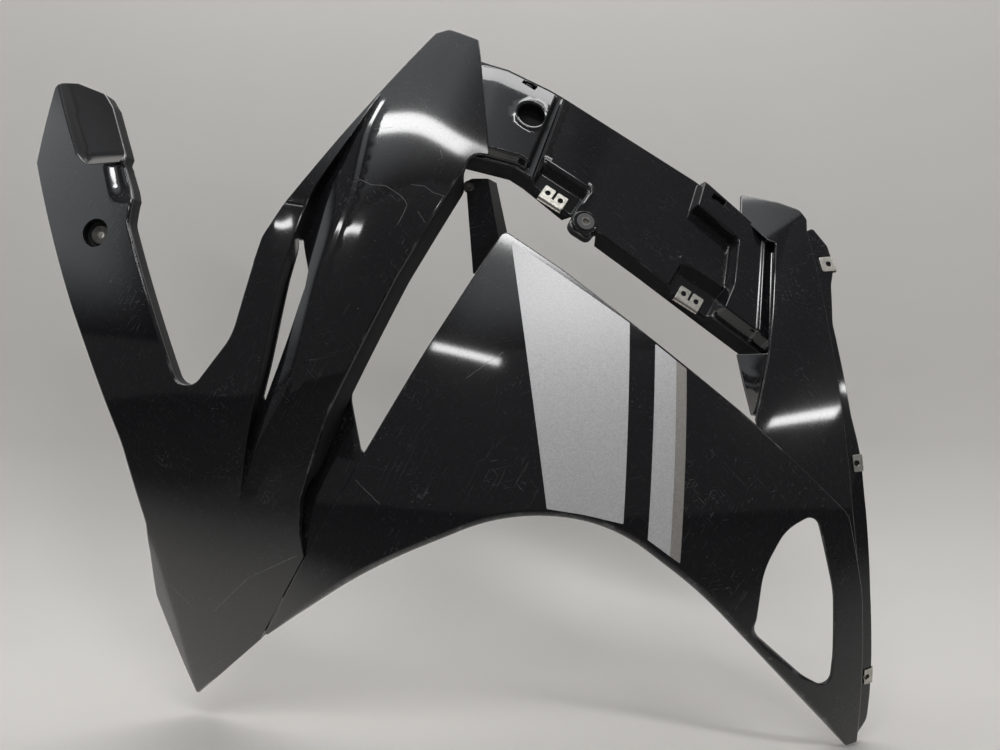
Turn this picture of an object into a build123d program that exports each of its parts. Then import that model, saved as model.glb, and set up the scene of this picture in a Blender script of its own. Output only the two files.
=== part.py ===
"""Side fairing of a sport-touring motorcycle: layered gloss mouldings, their stay, clip nuts and films.

Millimetres. +X runs to the right along the outer face, +Y goes inward, away from the outer face, +Z is up.
The origin is the middle of the rubber grommet in the inner panel.
"""
from build123d import *
from math import cos, exp, radians, sin, tan
import os

os.makedirs("parts", exist_ok=True)

# Walls, clearances and film
WALL = 3.0
SEAT_GAP = 0.3
FILM = 0.25
FILM_GAP = 0.1
REACH = 250.0
SAMPLE_STEP = 20.0
INWARD = (0, 1, 0)

# Crowns of the three gloss mouldings: the point nearest the viewer and the radii across and along
UPPER_CROWN = (-224, -49, -128)
UPPER_RADII = (830, 740)
LOWER_CROWN = (16, -82, -291)
LOWER_RADII = (690, 560)
SIDE_CROWN = (171, -50, -291)
SIDE_RADII = (650, 650)

# Shield: the swelling part of the upper panel
SHIELD_SWELL = 9.0
SHIELD_HALF_WIDTH = 62.0
SHIELD_TOP = (-128, 160)
SHIELD_FOOT = (-283, -258)
SHIELD_FADE = 120.0

# Upper panel: outline rows are x, z and corner radius
UPPER_RIM = 18.0
UPPER_X = (-550, -70)
UPPER_Z = (-475, 210)
UPPER_OUTLINE = [
    (-529, 150, 4), (-522, 157, 4), (-505, 154, 5), (-469, 137, 8), (-457, 121, 12),
    (-431, 65, 3), (-430, 53, 6), (-416, 21, 3), (-418, -2, 20),
    (-359, -164, 14), (-313, -107, 60), (-295, -42, 40), (-288, -20, 10), (-270, 11, 40),
    (-140, 184, 7), (-127, 189, 8), (-99, 179, 1.5), (-97, 162, 10), (-88, 59, 1), (-103, 60, 12),
    (-168, -55, 150), (-226, -172, 120), (-255, -251, 40), (-257, -281, 15), (-254, -304, 1),
    (-302, -388, 1), (-377, -456, 2), (-405, -349, 20), (-404, -312, 30), (-403, -277, 40),
    (-422, -203, 150), (-532, 66, 6),
]
# Where the upper panel's edge has no turned rim, because the inner panel and the lower panel tuck in
UPPER_TUCK = [(-118, 200), (-80, 200), (-80, 50), (-114, 50)]
# Valley between rail and shield: rows are z, rail x, shield edge x and depth
VALLEY = [
    (112, -192, -189, 1.0), (80, -210, -203, 5), (22, -246, -212, 16), (-57, -272, -239, 28),
    (-132, -285.5, -257, 24), (-187, -298, -279, 13), (-242, -309.5, -303, 2),
]
VALLEY_OVERRUN = 3.0
VALLEY_LIFT = 1.2
VALLEY_KNEE = (0.3, 0.25)
VALLEY_HEIGHT = 12.0
SLIT = [
    (-259, -16, 3), (-246, -50, 6), (-248, -64, 10), (-262, -106, 30), (-286, -164, 1.5), (-289, -160, 1),
    (-279, -109, 60), (-270, -56, 60),
]
# Pocket in the arm's upper end, open on its right side
POCKET = [(-519, 146), (-500, 164), (-448, 130), (-424, 64), (-435, 57), (-472, 60), (-484, 69)]
POCKET_MIDDLE = (-480, 110)
POCKET_DEPTH = 8.0
POCKET_SILL = 59.0
# Screw recess in the arm, with the bush in its floor
ARM_SCREW = (-452, -10)
RECESS_RADIUS = 13.5
RECESS_DEPTH = 12.0
BUSH_RADIUS = 6.0
BUSH_BORE = 3.3
BUSH_FLANGE = 8.5
BUSH_FLANGE_THICK = 1.5
BUSH_BACK = 4.0
# Return flange along the shield's lower right edge: rows are z and the edge's x
FLANGE_EDGE = [(38, -115.5), (-55, -168), (-172, -226), (-235, -249)]
FLANGE_OUT = 8.0
FLANGE_BACK = 24.0
# Shelf that carries the lower panel
SHELF = [
    (-236, -146, 1), (-211, -146, 5), (-212, -164, 20), (-201, -209, 6), (-183, -212, 4), (-236, -305, 200),
    (-263, -345, 3), (-290, -345, 1), (-272, -280, 20), (-268, -230, 20),
]

# Lower panel: outline rows start at its left tip, and the last four are its lower arc
LOWER_RIM = 14.0
LOWER_X = (-330, 280)
LOWER_Z = (-500, 20)
LOWER_OUTLINE = [
    (-301, -387, 1), (-253, -303, 500), (-149, -126, 600), (-74, -8, 5), (-23, -46, 300), (134, -178, 500),
    (224, -262, 22), (238, -331, 150), (245, -423, 200), (249, -478, 2), (237, -480, 1),
    (88, -322, 400), (10, -262, 134), (-75, -257, 168), (-190, -308, 500),
]
# Where the lower panel's edge has no turned rim: its left seat and peak, and its right seat
LOWER_SEAT_LEFT = [(-330, -400), (-262, -357), (-160, -170), (-70, -50), (-30, -70), (10, 30), (-120, 30)]
LOWER_SEAT_RIGHT = [
    (100, -120), (130, -200), (200, -262), (215, -330), (222, -445), (236, -500), (300, -500), (300, -120),
]
WINDOW = [
    (190, -260, 9), (209, -328, 90), (212, -385, 90), (210, -417, 8), (186, -401, 60), (137, -354, 8),
    (147, -294, 20), (162, -274, 20),
]
FILM_MAIN = [(-68.5, -18), (34, -96), (23, -264), (-40, -252)]
FILM_STRIPE = [(55, -114), (81, -136), (70, -297), (43, -277)]

# Side panel: rows of its fold from top to foot, of its hidden left side, and of its set-back lip's outer edge
SIDE_X = (120, 280)
SIDE_Z = (-500, 60)
SIDE_BLEND = (-190, -262)
LIP_BACK = 5.0
SIDE_FOLD = [
    (212, 2, 8), (217, -39, 300), (224, -156, 400), (230, -263, 300), (237, -331, 150), (243, -423, 200),
    (246, -472, 2),
]
SIDE_LEFT = [
    (236, -466, 4), (224, -440, 20), (222, -330, 60), (212, -282, 20), (148, -210, 10), (142, -180, 6),
    (159, -127, 100), (170, -81, 100), (168, -1, 3),
]
LIP_EDGE = [
    (222, 0, 3), (233, -18, 4), (236, -38, 8), (230, -58, 8), (226, -94, 30), (234, -178, 40),
    (241, -215, 60),
    (246, -262, 60), (251, -334, 100), (257, -395, 100), (260, -433, 60), (261, -460, 20), (250, -479, 2),
]
# Flap that leans back from the side panel's upper crease
FLAP = [(163, -6, 1), (163, 37, 2), (194, 27, 8), (211, 18, 6), (216, 8, 3), (214, -4, 1)]
FLAP_CREASE = (190, 0)
FLAP_SLOPE = 0.6
# Facet that turns inward from the left ridge below the inner panel: rows are z, ridge x, foot x and depth
FACET = [(-122, 161, 139, 22), (-152, 152, 141, 18), (-177, 145, 143, 12)]

# Inner panel, drawn on its own leaning plane: u runs along it, v up it, and its height is toward the viewer
INNER_SLOPE = 33.0
INNER_LEAN = 22.0
INNER_RIM = 14.0
INNER_FRONT = [
    (-195, 86), (-164, 96), (-146, 103), (-101, 110), (-86, 111), (68, 113), (80, 112), (153, 98), (186, 96),
    (220, 18), (206, -14), (142, -9), (72, -3), (14, 1), (-66, 11), (-84, 11), (-130, -8),
]
INNER_FOOT_FIRST = 10
INNER_FOOT_DROP = 12.0
LEFT_PAD = [
    (-191, 84.5), (-163, 93.5), (-145, 100.5), (-101, 107.5), (-90, 108), (-71, 14), (-84, 14), (-128, -4),
]
LEFT_PAD_HEIGHT = 10.0
RIGHT_PAD = [
    (72, 109), (80, 109), (153, 95), (183, 93), (217, 19), (204, -10), (146, -5), (144, 22), (128, 69),
    (78, 76),
]
RIGHT_PAD_HEIGHT = 14.0
PAD_DRAFT = 12.0
SOCKET_PLACE = (-99, 64)
SOCKET_RADIUS = 13.5
SOCKET_DEPTH = 16.0
CATCH_SLOTS = [(-118, 101.5), (95, 101.5)]
CATCH_SIZE = (12, 5)
GROMMET_OUTER = 8.5
GROMMET_BORE = 4.2
GROMMET_NECK = 7.0
GROMMET_LIP = 1.5
RING_GAP = 0.1
COLLAR_BORE = 3.1
BOSS_RADIUS = 13.0
BOSS_FRONT = 3.0
BOSS_BACK = 4.0
# Clip pockets: the middle of each clip on u, and its holes on v
CLIP_PLACES = [(-38, 11.5), (121, -0.5)]
CLIP_POCKET_WIDTH = 50.0
CLIP_POCKET_DEPTH = 8.0
CLIP_POCKET_TOP = 24.0
CLIP_RAMP = 10.0
TONGUE_DROP = 9.0

# Clip nuts
CLIP_SHEET = 1.0
CLIP_GAP = 0.35
CLIP_LEAF = 17.0
CLIP_PITCH = 14.0
CLIP_LOBE = 12.0
THREAD_RADIUS = 2.5
BARREL_RADIUS = 4.5
BARREL_LENGTH = 5.0
PASS_RADIUS = 3.2
EDGE_CLIPS = {"top": -37, "middle": -219, "bottom": -414}
EDGE_CLIP_WIDTH = 15.0
EDGE_CLIP_LEAF = 11.0
EDGE_CLIP_INSET = 5.5

# Stay between the shield's corner and the lower panel's peak: rows are z, left edge, fold, right edge, depth
STAY_SHEET = 2.5
STAY_FACE = 3.5
STAY = [(43, -111, -90, -82, 16), (-46, -104, -74, -63, 14)]
STAY_ROUND = 7.0
STAY_TAB = (-120, -101, 24, 46)
STAY_SCREW_TOP = (-107.5, 36)
STAY_SCREW_FOOT = (-83, -37)

# Screws that hold the mouldings together from behind
SCREW_BOSS = 4.5
SCREW_SHANK = 1.6
SCREW_HEAD = 6.0
SCREW_HEAD_THICK = 2.5
SCREW_BITE = 4.2
BOSS_REACH = 34.0
SHELF_SCREWS = [(-194, -219), (-226, -274), (-258, -331)]
SIDE_SCREWS = [(182, -234), (225, -302), (235, -436)]
LEFT_PAD_SCREWS = [(-160, 61), (-126, 13)]
RIGHT_PAD_SCREWS = [(183, 60), (194, 8)]


def smooth_step(value):
    """Ease from 0 to 1."""
    share = min(1.0, max(0.0, value))
    return share * share * (3 - 2 * share)


def crown(x, z, centre, radii):
    """Depth of a doubly curved skin at x, z."""
    across = (x - centre[0]) ** 2 / (2 * radii[0])
    along = (z - centre[2]) ** 2 / (2 * radii[1])
    return centre[1] + across + along


def upper_skin(x, z):
    """The upper panel's outer face: its crown, with the shield swelling out along its own centre line."""
    lean = (SHIELD_TOP[0] - SHIELD_FOOT[0]) / (SHIELD_TOP[1] - SHIELD_FOOT[1])
    aside = x - SHIELD_FOOT[0] - lean * (z - SHIELD_FOOT[1])
    swell = SHIELD_SWELL * exp(-(aside / SHIELD_HALF_WIDTH) ** 2)
    fade = smooth_step((z - SHIELD_FOOT[1]) / SHIELD_FADE)
    return crown(x, z, UPPER_CROWN, UPPER_RADII) - swell * fade


def lower_skin(x, z):
    """The lower panel's outer face."""
    return crown(x, z, LOWER_CROWN, LOWER_RADII)


def side_skin(x, z):
    """The side panel's outer face: its own crown above, and the lower panel's seat below."""
    seat = lower_skin(x, z) + WALL + SEAT_GAP
    share = smooth_step((SIDE_BLEND[0] - z) / (SIDE_BLEND[0] - SIDE_BLEND[1]))
    return crown(x, z, SIDE_CROWN, SIDE_RADII) * (1 - share) + seat * share


def skin_face(height, x_span, z_span, shift=0.0):
    """A smooth face over a rectangle in x and z, moved inward by shift."""
    columns = round((x_span[1] - x_span[0]) / SAMPLE_STEP) + 1
    rows = round((z_span[1] - z_span[0]) / SAMPLE_STEP) + 1
    points = []
    for row in range(rows):
        z = z_span[0] + (z_span[1] - z_span[0]) * row / (rows - 1)
        line = []
        for column in range(columns):
            x = x_span[0] + (x_span[1] - x_span[0]) * column / (columns - 1)
            line.append((x, height(x, z) + shift, z))
        points.append(line)
    return Face.make_surface_from_array_of_points(points, min_deg=3, max_deg=3)


def upper_face(shift=0.0):
    return skin_face(upper_skin, UPPER_X, UPPER_Z, shift)


def lower_face(shift=0.0):
    """The lower panel's crown is a paraboloid, so one patch with three by three poles is exact."""
    across, along = [], []
    for span, centre, radius, poles in (
        (LOWER_X, LOWER_CROWN[0], LOWER_RADII[0], across),
        (LOWER_Z, LOWER_CROWN[2], LOWER_RADII[1], along),
    ):
        start, end = span[0] - centre, span[1] - centre
        for position, rise in ((span[0], start * start), (sum(span) / 2, start * end), (span[1], end * end)):
            poles.append((position, rise / (2 * radius)))
    poles = [[(x, LOWER_CROWN[1] + shift + rise + climb, z) for x, rise in across] for z, climb in along]
    return Face.make_bezier_surface(poles)


def side_face(shift=0.0):
    return skin_face(side_skin, SIDE_X, SIDE_Z, shift)


def seat_plane(height, x, z, depth):
    """A plane on a skin moved inward by depth, looking inward along the skin's normal."""
    slope_x = (height(x + 1, z) - height(x - 1, z)) / 2
    slope_z = (height(x, z + 1) - height(x, z - 1)) / 2
    return Plane(origin=(x, height(x, z) + depth, z), x_dir=(1, slope_x, 0), z_dir=(-slope_x, 1, -slope_z))


def rounded_sketch(rows):
    """A closed outline from rows of x, z and corner radius."""
    with BuildSketch() as drawn:
        with BuildLine():
            FilletPolyline([row[:2] for row in rows], radius=[row[2] for row in rows], close=True)
        make_face()
    return drawn.sketch


def sharp_sketch(corners):
    """A closed outline with sharp corners."""
    with BuildSketch() as drawn:
        with BuildLine():
            Polyline(corners, close=True)
        make_face()
    return drawn.sketch


def discs(planes, radius, start, end):
    """One round bar on each plane, from start to end along its axis."""
    with BuildPart() as bars:
        for plane in planes:
            with BuildSketch(plane.offset(start)):
                Circle(radius)
            extrude(amount=end - start)
    return bars.part


# Inner panel's own plane, and where each hidden screw sits: on the back of the wall that it clamps
slope, lean = radians(INNER_SLOPE), radians(INNER_LEAN)
inner_plane = Plane(
    origin=(0, 0, 0),
    x_dir=(cos(slope), 0, -sin(slope)),
    z_dir=(sin(lean) * sin(slope), -cos(lean), sin(lean) * cos(slope)),
)


def inner_back(place, height):
    """A plane on the back of one of the inner panel's pads, looking inward."""
    origin = inner_plane.from_local_coords((place[0], place[1], height - WALL))
    return Plane(origin=origin, x_dir=inner_plane.x_dir, z_dir=-inner_plane.z_dir)


def stay_back(place):
    """A plane on the back of the stay's flat flange, looking inward."""
    return Plane(origin=(place[0], STAY_FACE + STAY_SHEET, place[1]), x_dir=(1, 0, 0), z_dir=INWARD)


shelf_planes = [seat_plane(lower_skin, x, z, 2 * WALL + SEAT_GAP) for x, z in SHELF_SCREWS]
side_planes = [seat_plane(side_skin, x, z, WALL) for x, z in SIDE_SCREWS]
left_planes = [inner_back(place, LEFT_PAD_HEIGHT) for place in LEFT_PAD_SCREWS]
right_planes = [inner_back(place, RIGHT_PAD_HEIGHT) for place in RIGHT_PAD_SCREWS]
stay_top_plane = stay_back(STAY_SCREW_TOP)
stay_foot_plane = stay_back(STAY_SCREW_FOOT)

# Upper panel: arm, rail, shield and tail as one moulding with a turned rim
pocket_slope = (
    (POCKET_MIDDLE[0] - UPPER_CROWN[0]) / UPPER_RADII[0],
    (POCKET_MIDDLE[1] - UPPER_CROWN[2]) / UPPER_RADII[1],
)
pocket_face = crown(*POCKET_MIDDLE, UPPER_CROWN, UPPER_RADII)


def valley_tool(grow):
    """The valley beside the shield as a loft of sections, grown by a wall for the inside."""
    with BuildPart() as tool:
        for z, rail, edge, depth in VALLEY:
            top = upper_skin(rail, z) - VALLEY_HEIGHT
            end = edge + VALLEY_OVERRUN
            floor = (rail - grow, upper_skin(rail, z) + depth + grow)
            crest = (end, upper_skin(end, z) - VALLEY_LIFT + grow)
            knee_x = rail + (edge - rail) * VALLEY_KNEE[0]
            knee = (knee_x, upper_skin(rail, z) + depth * VALLEY_KNEE[1] + grow)
            with BuildSketch(Plane.XY.offset(z)):
                with BuildLine():
                    Bezier(floor, knee, crest)
                    Polyline(crest, (end, top), (rail - grow, top), floor)
                make_face()
        loft()
    return tool.part


def pocket_tool(grow):
    """The arm's pocket, down to its floor and its sloping sill."""
    normal = (pocket_slope[0], -1, pocket_slope[1])
    floor_depth = pocket_face + POCKET_DEPTH + grow
    sill_face = crown(POCKET[-2][0], POCKET_SILL, UPPER_CROWN, UPPER_RADII)
    with BuildPart() as tool:
        with BuildSketch(Plane.XZ):
            add(sharp_sketch(POCKET))
            if grow:
                offset(amount=grow, kind=Kind.INTERSECTION)
        extrude(amount=REACH, both=True)
        split(bisect_by=Plane(origin=(POCKET_MIDDLE[0], floor_depth, POCKET_MIDDLE[1]), z_dir=normal))
        split(bisect_by=Plane(origin=(POCKET[-2][0], sill_face + grow, POCKET_SILL - grow), z_dir=(0, -1, 1)))
    return tool.part


def recess_tool(grow):
    """The arm's screw recess."""
    floor_depth = upper_skin(*ARM_SCREW) + RECESS_DEPTH + grow
    plane = Plane(origin=(ARM_SCREW[0], floor_depth, ARM_SCREW[1]), z_dir=(0, -1, 0))
    return discs([plane], RECESS_RADIUS + grow, 0, REACH)


upper_sketch = rounded_sketch(UPPER_OUTLINE)
shelf_sketch = rounded_sketch(SHELF)
valley_cut, valley_core = valley_tool(0), valley_tool(WALL)
pocket_cut, pocket_core = pocket_tool(0), pocket_tool(WALL)
recess_cut, recess_core = recess_tool(0), recess_tool(WALL)

with BuildPart() as upper_hollow:
    with BuildSketch(Plane.XZ):
        offset(upper_sketch, amount=-WALL)
        add(sharp_sketch(UPPER_TUCK))
    extrude(amount=REACH, both=True)
    extrude(upper_face(WALL), amount=REACH, dir=INWARD, mode=Mode.INTERSECT)

with BuildPart() as upper_cores:
    add(valley_core)
    add(pocket_core)
    add(recess_core)
    with BuildSketch(Plane.XZ):
        add(upper_sketch)
    extrude(amount=REACH, both=True, mode=Mode.INTERSECT)
    extrude(upper_face(WALL / 2), amount=REACH, dir=INWARD, mode=Mode.INTERSECT)

with BuildPart() as shelf:
    with BuildSketch(Plane.XZ):
        add(shelf_sketch)
        offset(upper_sketch, amount=-WALL / 2, mode=Mode.SUBTRACT)
    extrude(amount=REACH, both=True)
    extrude(lower_face(WALL + SEAT_GAP), amount=WALL, dir=INWARD, mode=Mode.INTERSECT)
    add(discs(shelf_planes, SCREW_BOSS + SEAT_GAP, -2 * WALL, 2 * WALL), mode=Mode.SUBTRACT)

with BuildPart() as return_flange:
    for z, edge in FLANGE_EDGE:
        near = upper_skin(edge, z)
        with BuildSketch(Plane.XY.offset(z)):
            with BuildLine():
                Polyline(
                    (edge - WALL / 2, near + WALL),
                    (edge + FLANGE_OUT, near + FLANGE_BACK),
                    (edge + FLANGE_OUT - WALL, near + FLANGE_BACK + WALL / 2),
                    (edge - WALL / 2, near + 3 * WALL),
                    close=True,
                )
            make_face()
    loft()

with BuildPart() as upper_bosses:
    add(discs(left_planes, SCREW_BOSS, -SEAT_GAP, -BOSS_REACH))
    extrude(upper_face(WALL / 2), amount=REACH, dir=INWARD, mode=Mode.INTERSECT)

with BuildPart() as upper_panel:
    with BuildSketch(Plane.XZ):
        add(upper_sketch)
    extrude(amount=REACH, both=True)
    extrude(upper_face(), amount=UPPER_RIM, dir=INWARD, mode=Mode.INTERSECT)
    add(upper_hollow.part, mode=Mode.SUBTRACT)
    add(upper_cores.part)
    add(valley_cut, mode=Mode.SUBTRACT)
    add(pocket_cut, mode=Mode.SUBTRACT)
    add(recess_cut, mode=Mode.SUBTRACT)
    with BuildSketch(Plane.XZ):
        add(rounded_sketch(SLIT))
        with Locations(ARM_SCREW):
            Circle(BUSH_RADIUS + RING_GAP)
    extrude(amount=REACH, both=True, mode=Mode.SUBTRACT)
    add(return_flange.part)
    add(shelf.part)
    with BuildSketch(Plane.XZ.offset(-(STAY_FACE - SEAT_GAP))):
        with Locations(((STAY_TAB[0] + STAY_TAB[1]) / 2, (STAY_TAB[2] + STAY_TAB[3]) / 2)):
            Rectangle(STAY_TAB[1] - STAY_TAB[0], STAY_TAB[3] - STAY_TAB[2])
    extrude(amount=WALL)
    add(discs([stay_top_plane], SCREW_BOSS, -SEAT_GAP, -SEAT_GAP - STAY_SHEET - 2 * WALL))
    add(upper_bosses.part)
    add(discs(left_planes + [stay_top_plane], SCREW_SHANK, 0, -SCREW_BITE), mode=Mode.SUBTRACT)
upper_panel.part.label = "upper_panel"
export_step(upper_panel.part, "parts/upper_panel.step")

# Lower panel: one crowned moulding on the shelf and on the side panel, with a turned rim along its lower arc
lower_sketch = rounded_sketch(LOWER_OUTLINE)

with BuildPart() as lower_hollow:
    with BuildSketch(Plane.XZ):
        with Locations((0, WALL)):
            add(lower_sketch)
        with Locations((0, -WALL)):
            add(lower_sketch, mode=Mode.INTERSECT)
        add(sharp_sketch(LOWER_SEAT_LEFT))
        add(sharp_sketch(LOWER_SEAT_RIGHT))
    extrude(amount=REACH, both=True)
    extrude(lower_face(WALL), amount=REACH, dir=INWARD, mode=Mode.INTERSECT)

with BuildPart() as lower_bosses:
    add(discs(shelf_planes + side_planes + [stay_foot_plane], SCREW_BOSS, -SEAT_GAP, -BOSS_REACH))
    extrude(lower_face(WALL / 2), amount=REACH, dir=INWARD, mode=Mode.INTERSECT)

with BuildPart() as lower_panel:
    with BuildSketch(Plane.XZ):
        add(lower_sketch)
    extrude(amount=REACH, both=True)
    extrude(lower_face(), amount=LOWER_RIM, dir=INWARD, mode=Mode.INTERSECT)
    add(lower_hollow.part, mode=Mode.SUBTRACT)
    with BuildSketch(Plane.XZ):
        add(rounded_sketch(WINDOW))
    extrude(amount=REACH, both=True, mode=Mode.SUBTRACT)
    add(lower_bosses.part)
    add(
        discs(shelf_planes + side_planes + [stay_foot_plane], SCREW_SHANK, 0, -SCREW_BITE),
        mode=Mode.SUBTRACT,
    )
lower_panel.part.label = "lower_panel"
export_step(lower_panel.part, "parts/lower_panel.step")


def film(corners):
    """A thin film on the lower panel's outer face."""
    with BuildPart() as sheet:
        with BuildSketch(Plane.XZ):
            add(sharp_sketch(corners))
        extrude(amount=REACH, both=True)
        extrude(lower_face(-FILM - FILM_GAP), amount=FILM, dir=INWARD, mode=Mode.INTERSECT)
    return sheet.part


film_main = film(FILM_MAIN)
film_main.label = "film_main"
export_step(film_main, "parts/film_main.step")
film_stripe = film(FILM_STRIPE)
film_stripe.label = "film_stripe"
export_step(film_stripe, "parts/film_stripe.step")

# Side panel: crowned face, leaning flap, inner facet, and the lip set back behind its fold
side_sketch = rounded_sketch(SIDE_FOLD + SIDE_LEFT)
lip_inside = [(x - WALL / 2, z, 0) for x, z, _ in reversed(SIDE_FOLD)]
lip_sketch = rounded_sketch(LIP_EDGE + lip_inside)


def lip_edge(z):
    """The lip's outer edge at z, and how it leans there."""
    for (x_high, z_high, _), (x_low, z_low, _) in zip(LIP_EDGE, LIP_EDGE[1:]):
        if z_low <= z <= z_high:
            lean_here = (x_high - x_low) / (z_high - z_low)
            return x_low + lean_here * (z - z_low), lean_here


edge_seats = {}
for name, z in EDGE_CLIPS.items():
    edge, lean_here = lip_edge(z)
    edge_seats[name] = seat_plane(side_skin, edge - EDGE_CLIP_INSET, z, LIP_BACK), lean_here

with BuildPart() as side_hollow:
    with BuildSketch(Plane.XZ):
        with Locations((-WALL, 0)):
            add(side_sketch)
    extrude(amount=REACH, both=True)
    extrude(side_face(WALL), amount=REACH, dir=INWARD, mode=Mode.INTERSECT)

with BuildPart() as side_lip:
    with BuildSketch(Plane.XZ):
        add(lip_sketch)
    extrude(amount=REACH, both=True)
    extrude(side_face(LIP_BACK), amount=WALL, dir=INWARD, mode=Mode.INTERSECT)

with BuildPart() as side_flap:
    with BuildSketch(Plane.XZ):
        add(rounded_sketch(FLAP))
    extrude(amount=REACH, both=True)
    crease = (FLAP_CREASE[0], side_skin(*FLAP_CREASE), FLAP_CREASE[1])
    back = (crease[0], crease[1] + WALL, crease[2])
    split(bisect_by=Plane(origin=crease, z_dir=(0, -1, FLAP_SLOPE)), keep=Keep.BOTTOM)
    split(bisect_by=Plane(origin=back, z_dir=(0, -1, FLAP_SLOPE)))

with BuildPart() as side_facet:
    for z, ridge, foot, depth in FACET:
        near = side_skin(ridge, z)
        with BuildSketch(Plane.XY.offset(z)):
            with BuildLine():
                Polyline(
                    (ridge, near + WALL / 2),
                    (foot, near + depth),
                    (foot + WALL, near + depth + WALL / 2),
                    (ridge + WALL, near + 2 * WALL),
                    close=True,
                )
            make_face()
    loft()

with BuildPart() as side_bosses:
    add(discs(right_planes, SCREW_BOSS, -SEAT_GAP, -BOSS_REACH))
    extrude(side_face(WALL / 2), amount=REACH, dir=INWARD, mode=Mode.INTERSECT)

with BuildPart() as side_panel:
    with BuildSketch(Plane.XZ):
        add(side_sketch)
    extrude(amount=REACH, both=True)
    extrude(side_face(), amount=LIP_BACK + WALL, dir=INWARD, mode=Mode.INTERSECT)
    add(side_hollow.part, mode=Mode.SUBTRACT)
    add(side_lip.part)
    add(side_flap.part)
    add(side_facet.part)
    add(side_bosses.part)
    add(discs(right_planes, SCREW_SHANK, 0, -SCREW_BITE), mode=Mode.SUBTRACT)
    add(discs(side_planes, SCREW_BOSS + SEAT_GAP, -2 * WALL, 2 * WALL), mode=Mode.SUBTRACT)
    lip_seats = [seat for seat, _ in edge_seats.values()]
    add(discs(lip_seats, PASS_RADIUS, -2 * WALL, 2 * WALL), mode=Mode.SUBTRACT)
side_panel.part.label = "side_panel"
export_step(side_panel.part, "parts/side_panel.step")

# Inner panel: a leaning tray with two raised ends, clip pockets, a socket and the grommet boss
inner_foot = []
for index, (u, v) in enumerate(INNER_FRONT):
    drop = INNER_FOOT_DROP if index >= INNER_FOOT_FIRST else 0
    inner_foot.append((u, v - drop))


def clip_plane(u):
    """A plane across the inner panel at u: its x is up the panel and its y is toward the viewer."""
    origin = inner_plane.from_local_coords((u, 0, 0))
    return Plane(origin=origin, x_dir=inner_plane.y_dir, z_dir=inner_plane.x_dir)


def pad(corners, height, inset):
    """A raised end with drafted sides, from below the front face up to its height."""
    draft = tan(radians(PAD_DRAFT))
    with BuildPart() as block:
        for level in (-WALL / 2, height):
            with BuildSketch(inner_plane.offset(level - inset)):
                offset(sharp_sketch(corners), amount=-inset - level * draft, kind=Kind.INTERSECTION)
        loft(ruled=True)
    return block.part


def tray(inset, depth):
    """The inner panel's body and pads, set in by a wall for the inside."""
    shrink = -inset
    with BuildPart() as body:
        with BuildSketch(inner_plane.offset(-inset)):
            offset(sharp_sketch(INNER_FRONT), amount=shrink, kind=Kind.INTERSECTION)
        with BuildSketch(inner_plane.offset(-depth)):
            offset(sharp_sketch(inner_foot), amount=shrink, kind=Kind.INTERSECTION)
        loft(ruled=True)
        add(pad(LEFT_PAD, LEFT_PAD_HEIGHT, inset))
        add(pad(RIGHT_PAD, RIGHT_PAD_HEIGHT, inset))
    return body.part


def clip_pockets(grow):
    """The two pockets that the clip nuts sit in, grown by a wall for the inside."""
    with BuildPart() as pockets:
        for u, v in CLIP_PLACES:
            top = v + CLIP_POCKET_TOP + grow
            floor = -CLIP_POCKET_DEPTH - grow
            with BuildSketch(clip_plane(u)):
                with BuildLine():
                    Polyline(
                        (top, 0), (top - CLIP_RAMP, floor), (top - REACH, floor),
                        (top - REACH, REACH), (top, REACH),
                        close=True,
                    )
                make_face()
            extrude(amount=CLIP_POCKET_WIDTH / 2 + grow, both=True)
    return pockets.part


tray_body, tray_inside = tray(0, INNER_RIM), tray(WALL, INNER_RIM + WALL)
pocket_space, pocket_floor = clip_pockets(0), clip_pockets(WALL)

with BuildPart() as inner_hollow:
    add(tray_inside)
    add(pocket_floor, mode=Mode.SUBTRACT)

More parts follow.
